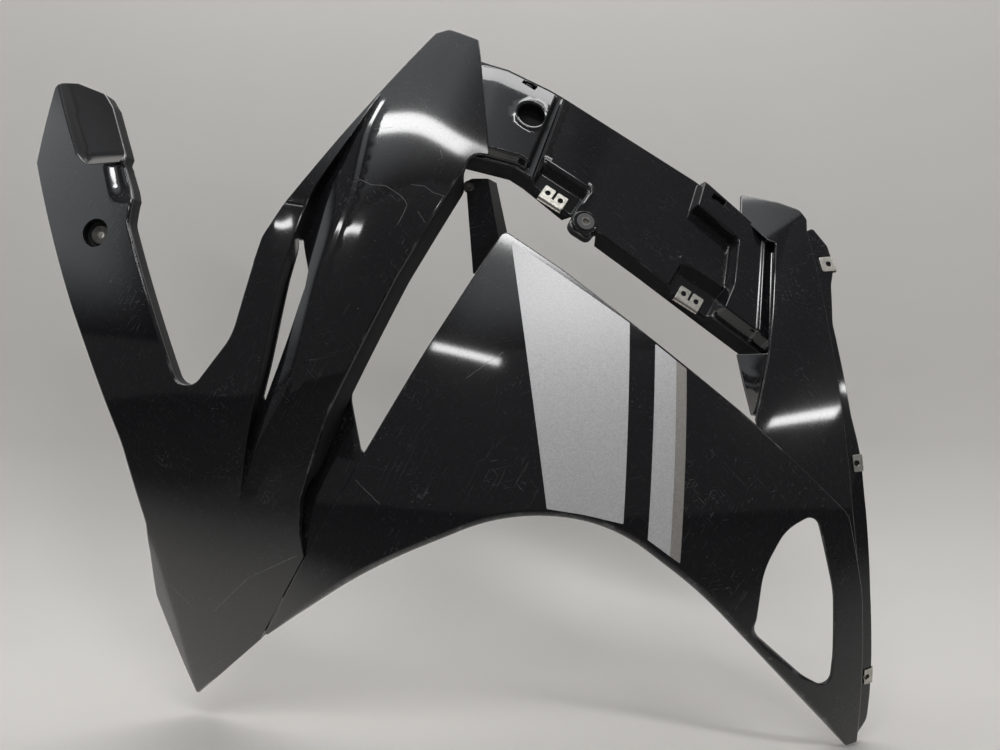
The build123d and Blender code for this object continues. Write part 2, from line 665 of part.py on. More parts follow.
with BuildPart() as inner_panel:
    add(tray_body)
    add(pocket_space, mode=Mode.SUBTRACT)
    add(inner_hollow.part, mode=Mode.SUBTRACT)
    with BuildSketch(inner_plane.offset(LEFT_PAD_HEIGHT - WALL / 2)):
        with Locations(SOCKET_PLACE):
            Circle(SOCKET_RADIUS + WALL)
    extrude(amount=-SOCKET_DEPTH)
    with BuildSketch(inner_plane.offset(LEFT_PAD_HEIGHT)):
        with Locations(SOCKET_PLACE):
            Circle(SOCKET_RADIUS)
    extrude(amount=WALL - SOCKET_DEPTH, mode=Mode.SUBTRACT)
    with BuildSketch(inner_plane.offset(BOSS_FRONT)):
        Circle(BOSS_RADIUS)
    extrude(amount=-BOSS_FRONT - BOSS_BACK)
    with BuildSketch(inner_plane.offset(-BOSS_BACK)):
        Circle(GROMMET_OUTER + WALL / 2)
    extrude(amount=-REACH, mode=Mode.SUBTRACT)
    with BuildSketch(inner_plane):
        Circle(GROMMET_NECK)
        with Locations(*CATCH_SLOTS):
            Rectangle(*CATCH_SIZE)
    extrude(amount=2 * RIGHT_PAD_HEIGHT, both=True, mode=Mode.SUBTRACT)
    for u, v in CLIP_PLACES:
        with BuildSketch(inner_plane.offset(WALL / 2 - CLIP_POCKET_DEPTH)):
            with Locations((u, v - TONGUE_DROP)):
                Rectangle(CLIP_PITCH + 2 * CLIP_LOBE, REACH, align=(Align.CENTER, Align.MAX))
        extrude(amount=-REACH, mode=Mode.SUBTRACT)
        with BuildSketch(inner_plane.offset(-CLIP_POCKET_DEPTH - WALL)):
            with Locations((u, v)):
                Rectangle(CLIP_PITCH + 2 * CLIP_LOBE, 2 * CLIP_LEAF)
        extrude(amount=-REACH, mode=Mode.SUBTRACT)
        with BuildSketch(inner_plane):
            with Locations((u - CLIP_PITCH / 2, v), (u + CLIP_PITCH / 2, v)):
                Circle(PASS_RADIUS)
        extrude(amount=2 * INNER_RIM, both=True, mode=Mode.SUBTRACT)
    add(
        discs(left_planes + right_planes, SCREW_BOSS + SEAT_GAP, -2 * WALL, 2 * WALL),
        mode=Mode.SUBTRACT,
    )
inner_panel.part.label = "inner_panel"
export_step(inner_panel.part, "parts/inner_panel.step")

# Centre stay: a folded sheet with a flat flange and a flank turned inward
with BuildPart() as centre_stay:
    for z, left, fold, right, depth in STAY:
        back = STAY_FACE + STAY_SHEET
        with BuildSketch(Plane.XY.offset(z)):
            with BuildLine():
                Polyline(
                    (left, STAY_FACE), (fold, STAY_FACE), (right, STAY_FACE + depth),
                    (right - STAY_SHEET, STAY_FACE + depth), (fold - STAY_SHEET / 2, back), (left, back),
                    close=True,
                )
            make_face()
    loft(ruled=True)
    top_corner = centre_stay.edges().filter_by(Axis.Y).group_by(Axis.Z)[-1].sort_by(Axis.X)[0]
    fillet(top_corner, STAY_ROUND)
    add(
        discs([stay_top_plane, stay_foot_plane], SCREW_BOSS + SEAT_GAP, -2 * WALL, 2 * WALL),
        mode=Mode.SUBTRACT,
    )
centre_stay.part.label = "centre_stay"
export_step(centre_stay.part, "parts/centre_stay.step")

# Clip nuts: spring sheet folded round an edge, with a threaded barrel behind each hole


def clip_nut(across, tongue, leaf, width, holes, edge_gap):
    """A clip on a tongue: across has x toward the edge, y toward the viewer and the holes at its origin."""
    inner = tongue + 2 * CLIP_GAP
    outer = inner + 2 * CLIP_SHEET
    middle = -tongue / 2
    with BuildPart() as clip:
        with BuildSketch(across):
            with Locations((edge_gap + CLIP_GAP + CLIP_SHEET, middle)):
                Rectangle(leaf, outer, align=(Align.MAX, Align.CENTER))
            with Locations((edge_gap + CLIP_GAP, middle)):
                Rectangle(2 * leaf, inner, align=(Align.MAX, Align.CENTER), mode=Mode.SUBTRACT)
        extrude(amount=width / 2, both=True)
        long_edges = clip.edges().filter_by(Axis(across.origin, across.z_dir))
        bend = long_edges.group_by(Axis(across.origin, across.x_dir))[-1]
        fillet(bend, CLIP_SHEET)
        front = Plane(origin=across.origin, x_dir=across.z_dir, z_dir=across.y_dir)
        rear = front.offset(-tongue - CLIP_GAP)
        with BuildSketch(rear):
            with Locations(*holes):
                Circle(BARREL_RADIUS)
        extrude(amount=-CLIP_SHEET - BARREL_LENGTH)
        with BuildSketch(front):
            with Locations(*holes):
                Circle(THREAD_RADIUS)
        extrude(amount=-REACH, mode=Mode.SUBTRACT)
        with BuildSketch(front.offset(-CLIP_GAP)):
            with Locations(*holes):
                Circle(PASS_RADIUS)
        extrude(amount=2 * CLIP_SHEET, mode=Mode.SUBTRACT)
    return clip.part


pair_holes = [(-CLIP_PITCH / 2, 0), (CLIP_PITCH / 2, 0)]
for name, (u, v) in zip(("upper", "lower"), CLIP_PLACES):
    place = inner_plane.from_local_coords((u, v, -CLIP_POCKET_DEPTH))
    across = Plane(origin=place, x_dir=-inner_plane.y_dir, z_dir=-inner_plane.x_dir)
    pair = clip_nut(across, WALL, CLIP_LEAF, CLIP_PITCH + CLIP_LOBE, pair_holes, TONGUE_DROP)
    pair.label = "clip_nut_pair_" + name
    export_step(pair, "parts/clip_nut_pair_" + name + ".step")


for name, (seat, lean_here) in edge_seats.items():
    outward = Vector(1, 0, -lean_here) - seat.z_dir * Vector(1, 0, -lean_here).dot(seat.z_dir)
    across = Plane(origin=seat.origin, x_dir=outward, z_dir=outward.cross(-seat.z_dir))
    tongue = WALL * seat.z_dir.Y
    to_edge = EDGE_CLIP_INSET / across.x_dir.X + WALL * abs(across.x_dir.Y)
    edge_nut = clip_nut(across, tongue, EDGE_CLIP_LEAF, EDGE_CLIP_WIDTH, [(0, 0)], to_edge)
    edge_nut.label = "edge_clip_nut_" + name
    export_step(edge_nut, "parts/edge_clip_nut_" + name + ".step")

# Grommet and its collar, in the inner panel's boss
boss_length = BOSS_FRONT + BOSS_BACK
with BuildPart() as grommet:
    with BuildSketch(inner_plane.offset(-BOSS_BACK - RING_GAP - GROMMET_LIP)):
        Circle(GROMMET_OUTER)
    extrude(amount=GROMMET_LIP)
    with BuildSketch(inner_plane.offset(-BOSS_BACK - RING_GAP)):
        Circle(GROMMET_NECK - RING_GAP)
    extrude(amount=boss_length + 2 * RING_GAP)
    with BuildSketch(inner_plane.offset(BOSS_FRONT + RING_GAP)):
        Circle(GROMMET_OUTER)
    extrude(amount=GROMMET_LIP)
    fillet(grommet.edges().filter_by(GeomType.CIRCLE).group_by(SortBy.RADIUS)[-1], GROMMET_LIP / 3)
    with BuildSketch(inner_plane):
        Circle(GROMMET_BORE)
    extrude(amount=2 * boss_length, both=True, mode=Mode.SUBTRACT)
grommet.part.label = "grommet"
export_step(grommet.part, "parts/grommet.step")

with BuildPart() as grommet_collar:
    with BuildSketch(inner_plane.offset(-BOSS_BACK - RING_GAP - GROMMET_LIP)):
        Circle(GROMMET_BORE - RING_GAP)
        Circle(COLLAR_BORE, mode=Mode.SUBTRACT)
    extrude(amount=boss_length + 2 * (RING_GAP + GROMMET_LIP))
grommet_collar.part.label = "grommet_collar"
export_step(grommet_collar.part, "parts/grommet_collar.step")

# Bush in the floor of the arm's screw recess
recess_floor = upper_skin(*ARM_SCREW) + RECESS_DEPTH
bush_plane = Plane(origin=(ARM_SCREW[0], recess_floor, ARM_SCREW[1]), z_dir=(0, -1, 0))
with BuildPart() as arm_bush:
    with BuildSketch(bush_plane.offset(RING_GAP)):
        Circle(BUSH_FLANGE)
    extrude(amount=BUSH_FLANGE_THICK)
    with BuildSketch(bush_plane.offset(RING_GAP)):
        Circle(BUSH_RADIUS)
    extrude(amount=-RING_GAP - WALL - BUSH_BACK)
    with BuildSketch(bush_plane):
        Circle(BUSH_BORE)
    extrude(amount=RECESS_DEPTH, both=True, mode=Mode.SUBTRACT)
arm_bush.part.label = "arm_bush"
export_step(arm_bush.part, "parts/arm_bush.step")

# Screws that hold the mouldings together from behind
screw_planes = shelf_planes + side_planes + left_planes + right_planes + [stay_top_plane, stay_foot_plane]
screw_heads = discs(screw_planes, SCREW_HEAD, RING_GAP, RING_GAP + SCREW_HEAD_THICK)
screw_shanks = discs(screw_planes, SCREW_SHANK - RING_GAP, RING_GAP, -SCREW_BITE + RING_GAP)
with BuildPart() as panel_screws:
    add(screw_heads)
    add(screw_shanks)
panel_screws.part.label = "panel_screws"
export_step(panel_screws.part, "parts/panel_screws.step")
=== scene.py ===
"""A motorcycle's side fairing: gloss black mouldings, silver films, clip nuts and a rubber-bushed mount."""
import math
import bpy
import numpy as np
from mathutils import Matrix, Vector
from mathutils.geometry import delaunay_2d_cdt


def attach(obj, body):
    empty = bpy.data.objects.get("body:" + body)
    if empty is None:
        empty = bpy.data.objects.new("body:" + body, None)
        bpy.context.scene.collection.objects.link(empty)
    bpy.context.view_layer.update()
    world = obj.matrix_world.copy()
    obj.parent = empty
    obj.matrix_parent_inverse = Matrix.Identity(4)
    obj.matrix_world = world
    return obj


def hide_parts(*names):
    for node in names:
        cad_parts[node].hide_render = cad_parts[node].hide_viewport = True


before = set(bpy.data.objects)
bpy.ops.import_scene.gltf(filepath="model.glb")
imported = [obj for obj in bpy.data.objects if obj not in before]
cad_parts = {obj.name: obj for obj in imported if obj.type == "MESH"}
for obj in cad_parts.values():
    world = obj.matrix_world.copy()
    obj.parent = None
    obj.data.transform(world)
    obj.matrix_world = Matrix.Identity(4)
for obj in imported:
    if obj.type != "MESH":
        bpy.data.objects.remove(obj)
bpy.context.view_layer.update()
bpy.ops.object.select_all(action="DESELECT")

# Upper panel
# One injection moulding in gloss black plastic: arm, rail, shield and tail, with a turned rim all round.
# The shield swells out of a crowned skin, and a valley with a slit in it runs down between rail and shield.
WALL = 3.0
PLAIN_EDGE = WALL + 0.6
RIM_ROUND = 0.5
UPPER_RIM, FLANGE_RIM, FLANGE_FLARE = 18, 7, 8
PAINT_REACH = 0.8
UPPER_CROWN, UPPER_RADII = (-224, -49, -128), (830, 740)
SHIELD_SWELL, SHIELD_HALF_WIDTH, SHIELD_FADE = 9.0, 62.0, 120.0
SHIELD_TOP, SHIELD_FOOT = (-128, 160), (-283, -258)
UPPER_OUTLINE = [
    (-529, 150, 4), (-522, 157, 4), (-505, 154, 5), (-469, 137, 8), (-457, 121, 12),
    (-431, 65, 3), (-430, 53, 6), (-416, 21, 3), (-418, -2, 20),
    (-359, -164, 14), (-313, -107, 60), (-295, -42, 40), (-288, -20, 10), (-270, 11, 40),
    (-140, 184, 7), (-127, 189, 8), (-99, 179, 2.2), (-97, 162, 10), (-88, 59, 2), (-103, 60, 12),
    (-168, -55, 150), (-226, -172, 120), (-255, -251, 40), (-257, -281, 15), (-254, -304, 2),
    (-302, -388, 2), (-377, -456, 3), (-405, -349, 20), (-404, -312, 30), (-403, -277, 40),
    (-422, -203, 150), (-532, 66, 6),
]
SLIT = [
    (-257, -14, 2), (-246, -50, 6), (-248, -64, 10), (-262, -106, 30), (-284.5, -164, 1.2), (-287, -160, 1.2),
    (-277.2, -109, 60), (-268, -56, 60),
]
# Rows from the valley's top to its foot: z, rail x, shield edge x and depth
VALLEY = [
    (126, -184, -180, 0), (112, -192, -189, 1.0), (80, -210, -203, 5), (22, -246, -212, 16),
    (-57, -272, -239, 28), (-132, -285.5, -257, 24), (-187, -298, -279, 13), (-242, -309.5, -303, 2),
    (-262, -314, -310, 0),
]
POCKET = [
    (-531, 162, 3), (-500, 176, 3), (-436, 134, 3), (-414, 62, 3), (-425, 57, 3), (-470, 58, 9),
    (-485, 70, 9),
]
POCKET_MIDDLE, POCKET_DEPTH, POCKET_SILL, SILL_SLOPE = (-480, 110), 8.0, 58.0, 0.9
FLUTE_TOP, FLUTE_FOOT, FLUTE_WIDTH, FLUTE_DEPTH = (-452, 57), (-437, 14), 15.0, 5.0
RAIL_SWELL, RAIL_PLACE, RAIL_SPREAD = 1.5, (-281, -18), (15, 32)
ARM_SCREW, RECESS_RADIUS, RECESS_DEPTH, BUSH_RADIUS = (-452, -10), 13.5, 12.0, 6.1
TAIL_FOLD = [(-401.6, -277.5), (-392.2, -318.1), (-383, -373), (-377.9, -429.4), (-376.1, -453.3)]
JOINT_LINE = [(-270, 11.5), (-253, 8.5)]
FLANGE_EDGE = [(38, -115.5), (-55, -168), (-172, -226), (-235, -249)]


def ease(value):
    """Smooth step from 0 to 1."""
    share = np.clip(value, 0.0, 1.0)
    return share * share * (3 - 2 * share)


def softer_max(first, second, width):
    """The larger of two depths, rounded where they cross."""
    return 0.5 * (first + second + np.sqrt((first - second) ** 2 + width * width))


def crown(x, z, centre, radii):
    """Depth of a doubly curved skin."""
    return centre[1] + (x - centre[0]) ** 2 / (2 * radii[0]) + (z - centre[2]) ** 2 / (2 * radii[1])


def upper_skin(x, z):
    """The crown with the shield swelling out along its leaning centre line."""
    lean = (SHIELD_TOP[0] - SHIELD_FOOT[0]) / (SHIELD_TOP[1] - SHIELD_FOOT[1])
    aside = x - SHIELD_FOOT[0] - lean * (z - SHIELD_FOOT[1])
    swell = SHIELD_SWELL * np.exp(-(aside / SHIELD_HALF_WIDTH) ** 2)
    return crown(x, z, UPPER_CROWN, UPPER_RADII) - swell * ease((z - SHIELD_FOOT[1]) / SHIELD_FADE)


def reading(rows, value, given, wanted):
    """One column of rows, read at a value of another."""
    known = sorted((row[given], row[wanted]) for row in rows)
    return np.interp(value, *zip(*known))


def along(rows, z, column):
    """A value from rows that start with z, eased a little over the corners between them."""
    return sum(reading(rows, z + shift, 0, column) for shift in (-9, -3, 3, 9)) / 4


def line_distance(x, z, start, end):
    """Distance to a straight run, and the share along it."""
    run = (end[0] - start[0], end[1] - start[1])
    share = ((x - start[0]) * run[0] + (z - start[1]) * run[1]) / (run[0] ** 2 + run[1] ** 2)
    near = np.clip(share, 0.0, 1.0)
    return np.hypot(x - start[0] - near * run[0], z - start[1] - near * run[1]), share


def inside(x, z, corners):
    """Whether each point lies inside a closed outline."""
    found = np.zeros(np.shape(x), bool)
    for (x0, z0), (x1, z1) in zip(corners, np.roll(corners, -1, axis=0)):
        crosses = (z0 > z) != (z1 > z)
        if z0 != z1:
            found ^= crosses & (x < (x1 - x0) * (z - z0) / (z1 - z0) + x0)
    return found


def depth_inside(x, z, corners):
    """Distance in from an outline, negative outside it."""
    nearest = np.full(np.shape(x), 1e9)
    for start, end in zip(corners, np.roll(corners, -1, axis=0)):
        nearest = np.minimum(nearest, line_distance(x, z, start, end)[0])
    return np.where(inside(x, z, corners), nearest, -nearest)


def feature_lines(corners, amounts):
    """Closed lines at several distances in from an outline, for a mesh that follows a moulded step."""
    found = []
    for amount in amounts:
        moved = inset(corners, amount)
        found.append([tuple(point) for point in moved] + [tuple(moved[0])])
    return found


def upper_front(x, z, grow=0.0):
    """The upper panel's face, or with grow its back."""
    spread = [(place - middle) / size for place, middle, size in zip((x, z), RAIL_PLACE, RAIL_SPREAD)]
    face = upper_skin(x, z) + grow - RAIL_SWELL * np.exp(-spread[0] ** 2 - spread[1] ** 2)
    rail = along(VALLEY, z, 1)
    edge = along(VALLEY, z, 2)
    depth = along(VALLEY, z, 3)
    end = edge + 3
    start, knee = rail - grow, rail + (edge - rail) * 0.3
    skin = upper_skin(rail, z) + grow
    bend, run = end - 2 * knee + start, 2 * (knee - start)
    reach = np.clip(x - start, 0, None)
    share = np.clip(2 * reach / (run + np.sqrt(np.maximum(run * run + 4 * bend * reach, 1e-9))), 0, 1)
    crest = upper_skin(end, z) - 1.2 + grow
    floor = (1 - share) ** 2 * (skin + depth) + 2 * share * (1 - share) * (skin + depth * 0.25)
    floor = floor + share ** 2 * crest
    drop = ease((x - start) / 2.0) * ease((end + 14 - x) / 10) * ease(depth)
    round_off = drop * (1.4 * ease(depth / 3) + 2.0 * ease(depth / 10))
    face = np.where(drop > 0, softer_max(face, face - 5 + (floor - face + 5) * drop, round_off), face)
    slope = [(POCKET_MIDDLE[i] - UPPER_CROWN[2 * i]) / UPPER_RADII[i] for i in (0, 1)]
    pocket = crown(*POCKET_MIDDLE, UPPER_CROWN, UPPER_RADII) + POCKET_DEPTH + grow
    pocket = pocket + slope[0] * (x - POCKET_MIDDLE[0]) + slope[1] * (z - POCKET_MIDDLE[1])
    sill = crown(x, POCKET_SILL, UPPER_CROWN, UPPER_RADII) + grow + SILL_SLOPE * (z - POCKET_SILL + grow)
    pocket = -softer_max(-pocket, -sill, 0.8)
    sink = ease((depth_inside(x, z, pocket_edge) + grow) / (1.2 + 5.8 * ease((z - 60) / 16))) ** 1.4
    face = face + np.maximum(pocket - face, 0) * sink
    run = (FLUTE_TOP[1] - z) / (FLUTE_TOP[1] - FLUTE_FOOT[1])
    aside = x - FLUTE_TOP[0] - (FLUTE_FOOT[0] - FLUTE_TOP[0]) * run
    flute = ease(aside / FLUTE_WIDTH) * ease((1.0 - run) / 0.5) * ease((FLUTE_TOP[1] + 1 - z) / 2)
    face = face + FLUTE_DEPTH * flute * ease((FLUTE_FOOT[0] + 60 - x) / 20)
    well = upper_skin(*ARM_SCREW) + RECESS_DEPTH + grow
    ring = np.hypot(x - ARM_SCREW[0], z - ARM_SCREW[1])
    face = face + (well - face) * ease((RECESS_RADIUS + grow - ring) / 1.6)
    fold = reading(TAIL_FOLD, z, 1, 0) - x
    fold = np.where(z < TAIL_FOLD[0][1], fold, -9.0)
    face = face + 0.35 * (softer_max(fold, 0, 1.6) - 0.25) * ease((TAIL_FOLD[0][1] - z) / 30)
    gap = line_distance(x, z, *JOINT_LINE)[0]
    return face + (0.8 * np.exp(-(gap / 0.9) ** 2) if grow == 0 else 0)


def outline(rows, step, hole=False):
    """Points round an outline of corner rows: arcs at the corners and straight runs between."""
    corners = np.array([row[:2] for row in rows], float)
    area = np.sum(corners[:, 0] * np.roll(corners[:, 1], -1) - corners[:, 1] * np.roll(corners[:, 0], -1))
    turned = list(rows) if (area > 0) != hole else list(rows)[::-1]
    walk = []
    for before, here, after in zip(turned[-1:] + turned[:-1], turned, turned[1:] + turned[:1]):
        corner = np.array(here[:2], float)
        back, ahead = np.array(before[:2]) - corner, np.array(after[:2]) - corner
        room = min(np.linalg.norm(back), np.linalg.norm(ahead)) * 0.495
        back, ahead = back / np.linalg.norm(back), ahead / np.linalg.norm(ahead)
        turn = math.pi - math.acos(max(-1.0, min(1.0, float(back @ ahead))))
        cut = min(here[2] * math.tan(turn / 2), room)
        if turn < 0.01 or cut < 0.05:
            walk.append(corner)
            continue
        radius = cut / math.tan(turn / 2)
        middle = corner + (back + ahead) / np.linalg.norm(back + ahead) * math.hypot(radius, cut)
        count = max(2, math.ceil(turn / math.radians(14)), math.ceil(radius * turn / step))
        first, last = corner + back * cut - middle, corner + ahead * cut - middle
        start = math.atan2(first[1], first[0])
        sweep = (math.atan2(last[1], last[0]) - start + math.pi) % (2 * math.pi) - math.pi
        for index in range(count + 1):
            angle = start + sweep * index / count
            walk.append(middle + radius * np.array((math.cos(angle), math.sin(angle))))
    points = []
    for here, after in zip(walk, walk[1:] + walk[:1]):
        pieces = max(1, round(np.linalg.norm(after - here) / step))
        if np.linalg.norm(after - here) > 0.02:
            points += [here + (after - here) * index / pieces for index in range(pieces)]
    return np.array(points)


def disc(centre, radius, count=28):
    """A round hole's outline."""
    angles = -np.arange(count) * 2 * math.pi / count
    return np.column_stack((centre[0] + radius * np.cos(angles), centre[1] + radius * np.sin(angles)))


def inset(loop, amount):
    """An outline moved towards the plastic, which is on its left."""
    forward = np.roll(loop, -1, axis=0) - loop
    forward /= np.linalg.norm(forward, axis=1)[:, None]
    normal = np.column_stack((-forward[:, 1], forward[:, 0]))
    mean = normal + np.roll(normal, 1, axis=0)
    mean /= np.linalg.norm(mean, axis=1)[:, None]
    stretch = np.clip(np.sum(mean * normal, axis=1), 0.6, 1.0)
    return loop + mean * (np.broadcast_to(amount, len(loop)) / stretch)[:, None]


def fill(loops, lines, step):
    """Triangles between closed loops, with inner lines kept as edges. The loops' points come first."""
    points = [tuple(point) for loop in loops for point in loop]
    edges, first = [], 0
    for loop in loops:
        edges += [(first + index, first + (index + 1) % len(loop)) for index in range(len(loop))]
        first += len(loop)
    border = np.array(points)
    for line in lines:
        kept = []
        for start, end in zip(line, line[1:]):
            count = max(1, round(math.hypot(end[0] - start[0], end[1] - start[1]) / (step * 0.7)))
            kept += [np.add(start, np.subtract(end, start) * index / count) for index in range(count)]
        kept = np.array(kept + [np.array(line[-1], float)])
        good = in_plastic(kept, loops)
        good &= np.array([np.min(np.hypot(*(border - point).T)) > 0.8 for point in kept])
        numbers = []
        for point, use in zip(kept, good):
            numbers.append(len(points) if use else None)
            if use:
                points.append(tuple(point))
        edges += [(a, b) for a, b in zip(numbers, numbers[1:]) if a is not None and b is not None]
    taken = np.array(points)
    low, high = border.min(0), border.max(0)
    grid = []
    for row, height in enumerate(np.arange(low[1], high[1], step * 0.866)):
        for across in np.arange(low[0] + (row % 2) * step / 2, high[0], step):
            grid.append((across, height))
    grid = np.array(grid)
    grid = grid[in_plastic(grid, loops)]
    far = [np.min((taken[:, 0] - a) ** 2 + (taken[:, 1] - b) ** 2) > (0.6 * step) ** 2 for a, b in grid]
    points += [tuple(point) for point in grid[np.array(far, bool)]]
    made = delaunay_2d_cdt([Vector(point) for point in points], edges, [], 0, 1e-6, True)
    flat = np.array([tuple(point) for point in made[0]])
    corners = np.array([list(face) for face in made[2]])
    corners = corners[in_plastic(flat[corners].mean(axis=1), loops)]
    renumber = {}
    for number, sources in enumerate(made[3]):
        for source in sources:
            renumber[source] = number
    return flat, corners, [renumber[index] for index in range(first)]


def in_plastic(points, loops):
    """Whether each point lies inside the first loop and outside the others."""
    found = inside(*points.T, loops[0])
    for loop in loops[1:]:
        found &= ~inside(*points.T, loop)
    return found


def tilt(height, points):
    """The face's normal in across, up and depth."""
    reach = 0.1
    x, z = points.T
    across = (height(x + reach, z) - height(x - reach, z)) / (2 * reach)
    up = (height(x, z + reach) - height(x, z - reach)) / (2 * reach)
    normal = np.column_stack((across, up, -np.ones(len(points))))
    return normal / np.linalg.norm(normal, axis=1)[:, None]


def everywhere(value):
    """A size that is the same all round an outline."""
    return lambda x, z: np.full(np.shape(x), float(value))


def moulding(
    loops, front, rim, roll, flare=everywhere(0), front_lines=(), back_lines=(), step=6.0, wall=WALL,
    matt=everywhere(0), back=None,
):
    """A closed shell of face, rolled edge, turned rim and back, which lies a wall behind if none is given."""
    back = back or (lambda x, z: front(x, z) + wall)
    rows, faces, normals, wear = [], [], {}, []

    def store(points, depth, amount, hidden=0.0):
        first = sum(len(block) for block in rows)
        rows.append(np.column_stack((points, depth)))
        wear.extend([(amount, hidden)] * len(points))
        return first

    rolls = [roll(*loop.T) for loop in loops]
    face_loops = [inset(loop, amount) for loop, amount in zip(loops, rolls)]
    flat, triangles, border = fill(face_loops, front_lines, step)
    first = store(flat, front(*flat.T), 0.0)
    wear[first:] = [(0.0, float(dull)) for dull in matt(*flat.T)]
    faces += (triangles + first).tolist()
    for number, normal in enumerate(tilt(front, flat)):
        normals[first + number] = normal
    rear, rear_triangles, rear_border = fill([inset(loop, wall) for loop in loops], back_lines, step * 1.5)
    rear_first = store(rear, back(*rear.T), 0.0, 1.0)
    faces += (rear_triangles[:, ::-1] + rear_first).tolist()
    for number, normal in enumerate(tilt(back, rear)):
        normals[rear_first + number] = -normal
    start = 0
    for loop, amount in zip(loops, rolls):
        count = len(loop)
        chain = [np.array(border[start:start + count]) + first]
        for number in chain[0]:
            wear[number] = (0.35, wear[number][1])
        for angle in (math.pi / 6, math.pi / 3, math.pi / 2):
            moved = inset(loop, amount * (1 - math.sin(angle)))
            depth = front(*moved.T) + amount * (1 - math.cos(angle))
            chain.append(store(moved, depth, 1.0) + np.arange(count))
        spread, base = flare(*loop.T), front(*loop.T)
        rounded = RIM_ROUND * wall / WALL
        deep = np.maximum(rim(*loop.T), amount + rounded + 0.05)
        down = np.minimum(PAINT_REACH, deep - rounded - amount - 0.02)
        out = spread * down / (deep - rounded - amount)
        chain.append(store(inset(loop, -out), base + amount + down, 0.5, 1.0) + np.arange(count))
        for shift, lift in ((0, rounded), (rounded, 0), (wall - rounded, 0), (wall, rounded)):
            chain.append(store(inset(loop, shift - spread), base + deep - lift, 0.5, 1.0) + np.arange(count))
        chain.append(np.array(rear_border[start:start + count]) + rear_first)
        for one, two in zip(chain, chain[1:]):
            one_on, two_on = np.roll(one, -1), np.roll(two, -1)
            faces += np.column_stack((one, two, two_on, one_on)).tolist()
        start += count
    return np.vstack(rows), faces, normals, wear


def upright(rows):
    """Across, up and depth in the fairing's frame, from millimetres."""
    return np.column_stack((rows[:, 0], rows[:, 2], rows[:, 1])) / 1000


def join_shells(name, shells, place=upright):
    """One smooth mesh object of several shells, with exact normals on the skins and its wear."""
    points, faces, wear, exact, first = [], [], [], {}, 0
    turn = place(np.eye(3) * 1000) - place(np.zeros((3, 3)))
    for rows, corners, normals, worn in shells:
        points.append(place(rows))
        faces += [[first + corner for corner in face] for face in corners]
        for number, normal in normals.items():
            exact[first + number] = normal @ turn
        wear += worn
        first += len(rows)
    mesh = bpy.data.meshes.new(name)
    mesh.from_pydata(np.vstack(points).tolist(), [], faces)
    mesh.shade_smooth()
    for column, attribute in enumerate(("edge", "inside")):
        amounts = np.ascontiguousarray(np.array(wear, np.float32)[:, column])
        mesh.attributes.new(attribute, "FLOAT", "POINT").data.foreach_set("value", amounts)
    soft = [exact.get(vertex.index, vertex.normal) for vertex in mesh.vertices]
    mesh.normals_split_custom_set_from_vertices([tuple(normal) for normal in soft])
    piece = bpy.data.objects.new(name, mesh)
    bpy.context.scene.collection.objects.link(piece)
    return piece


def shifted(rows, across, first, last):
    """A line beside a valley row line, between two heights."""
    heights = np.linspace(first, last, 60)
    return list(zip(along(VALLEY, heights, rows) + across, heights))


def ring(centre, radius, count=32):
    """A closed round line."""
    angles = np.linspace(0, 2 * math.pi, count)
    return list(zip(centre[0] + radius * np.cos(angles), centre[1] + radius * np.sin(angles)))


def near_flange(x, z):
    """How far a point of the outline belongs to the shield's flared lower right edge."""
    edge = reading(FLANGE_EDGE, z, 0, 1)
    return ease((14 - np.abs(x - edge)) / 8) * ease((z + 240) / 20) * ease((46 - z) / 16)


def upper_rim(x, z):
    """The turned rim's depth: none where the inner panel tucks in."""
    tucked = ease((x + 122) / 10) * ease((z - 42) / 12)
    deep = UPPER_RIM + FLANGE_RIM * near_flange(x, z)
    return deep * (1 - tucked) + PLAIN_EDGE * tucked


pocket_edge = outline(POCKET, 3)
upper_loops = [outline(UPPER_OUTLINE, 3.5), outline(SLIT, 2.5, hole=True), disc(ARM_SCREW, BUSH_RADIUS)]
upper_lines = [shifted(1, across, 116, -246) for across in (-0.3, 0.35, 0.8, 1.25, 1.7, 2.3)]
upper_lines += [shifted(2, across, 55, -190) for across in (-7, -4, -2, -0.5)]
upper_lines += [shifted(2, across, 112, -246) for across in (1, 2.2, 3.4, 4.6, 6, 8)]
upper_lines += [ring(ARM_SCREW, radius) for radius in (13.75, 13.2, 12.8, 12.4, 11.7)]
upper_lines += feature_lines(pocket_edge, (-0.3, 0.5, 1.2, 2.2, 3.2, 4.4, 6.2))
upper_lines += [[(-475, height), (-425, height)] for height in (58.5, 60, 62, 64, 66, 67.5, 69)]
for share in (-0.1, 0.15, 0.35, 0.55, 0.75, 0.95):
    upper_lines.append([(x + share * FLUTE_WIDTH, z) for x, z in (FLUTE_TOP, FLUTE_FOOT)])
upper_lines += [[(x + across, z) for x, z in TAIL_FOLD] for across in (-1.6, 0, 1.6)]
upper_lines += [[(x, z + lift) for x, z in JOINT_LINE] for lift in (-1.8, -0.9, 0, 0.9, 1.8)]
upper_back_lines = [shifted(1, across - WALL, 108, -236) for across in (-0.7, 0.6, 1.9)]
upper_back_lines += [shifted(2, across, 100, -236) for across in (-3, 1)]
upper_back_lines += [ring(ARM_SCREW, radius) for radius in (16.5, 15)]


def in_slit(x, z):
    """Whether a point of the outlines is on the slit."""
    return inside(x, z, [(-295, -10), (-240, -10), (-240, -170), (-295, -170)])


def upper_roll(x, z):
    """How far the edge is rolled: more along the arm's inner side and the shield's flared edge."""
    arm = ease((x + 476) / 20) * ease((-352 - x) / 12) * ease((70 - z) / 14)
    return np.where(in_slit(x, z), 0.6, 1.3 + 1.5 * arm + 1.2 * near_flange(x, z))


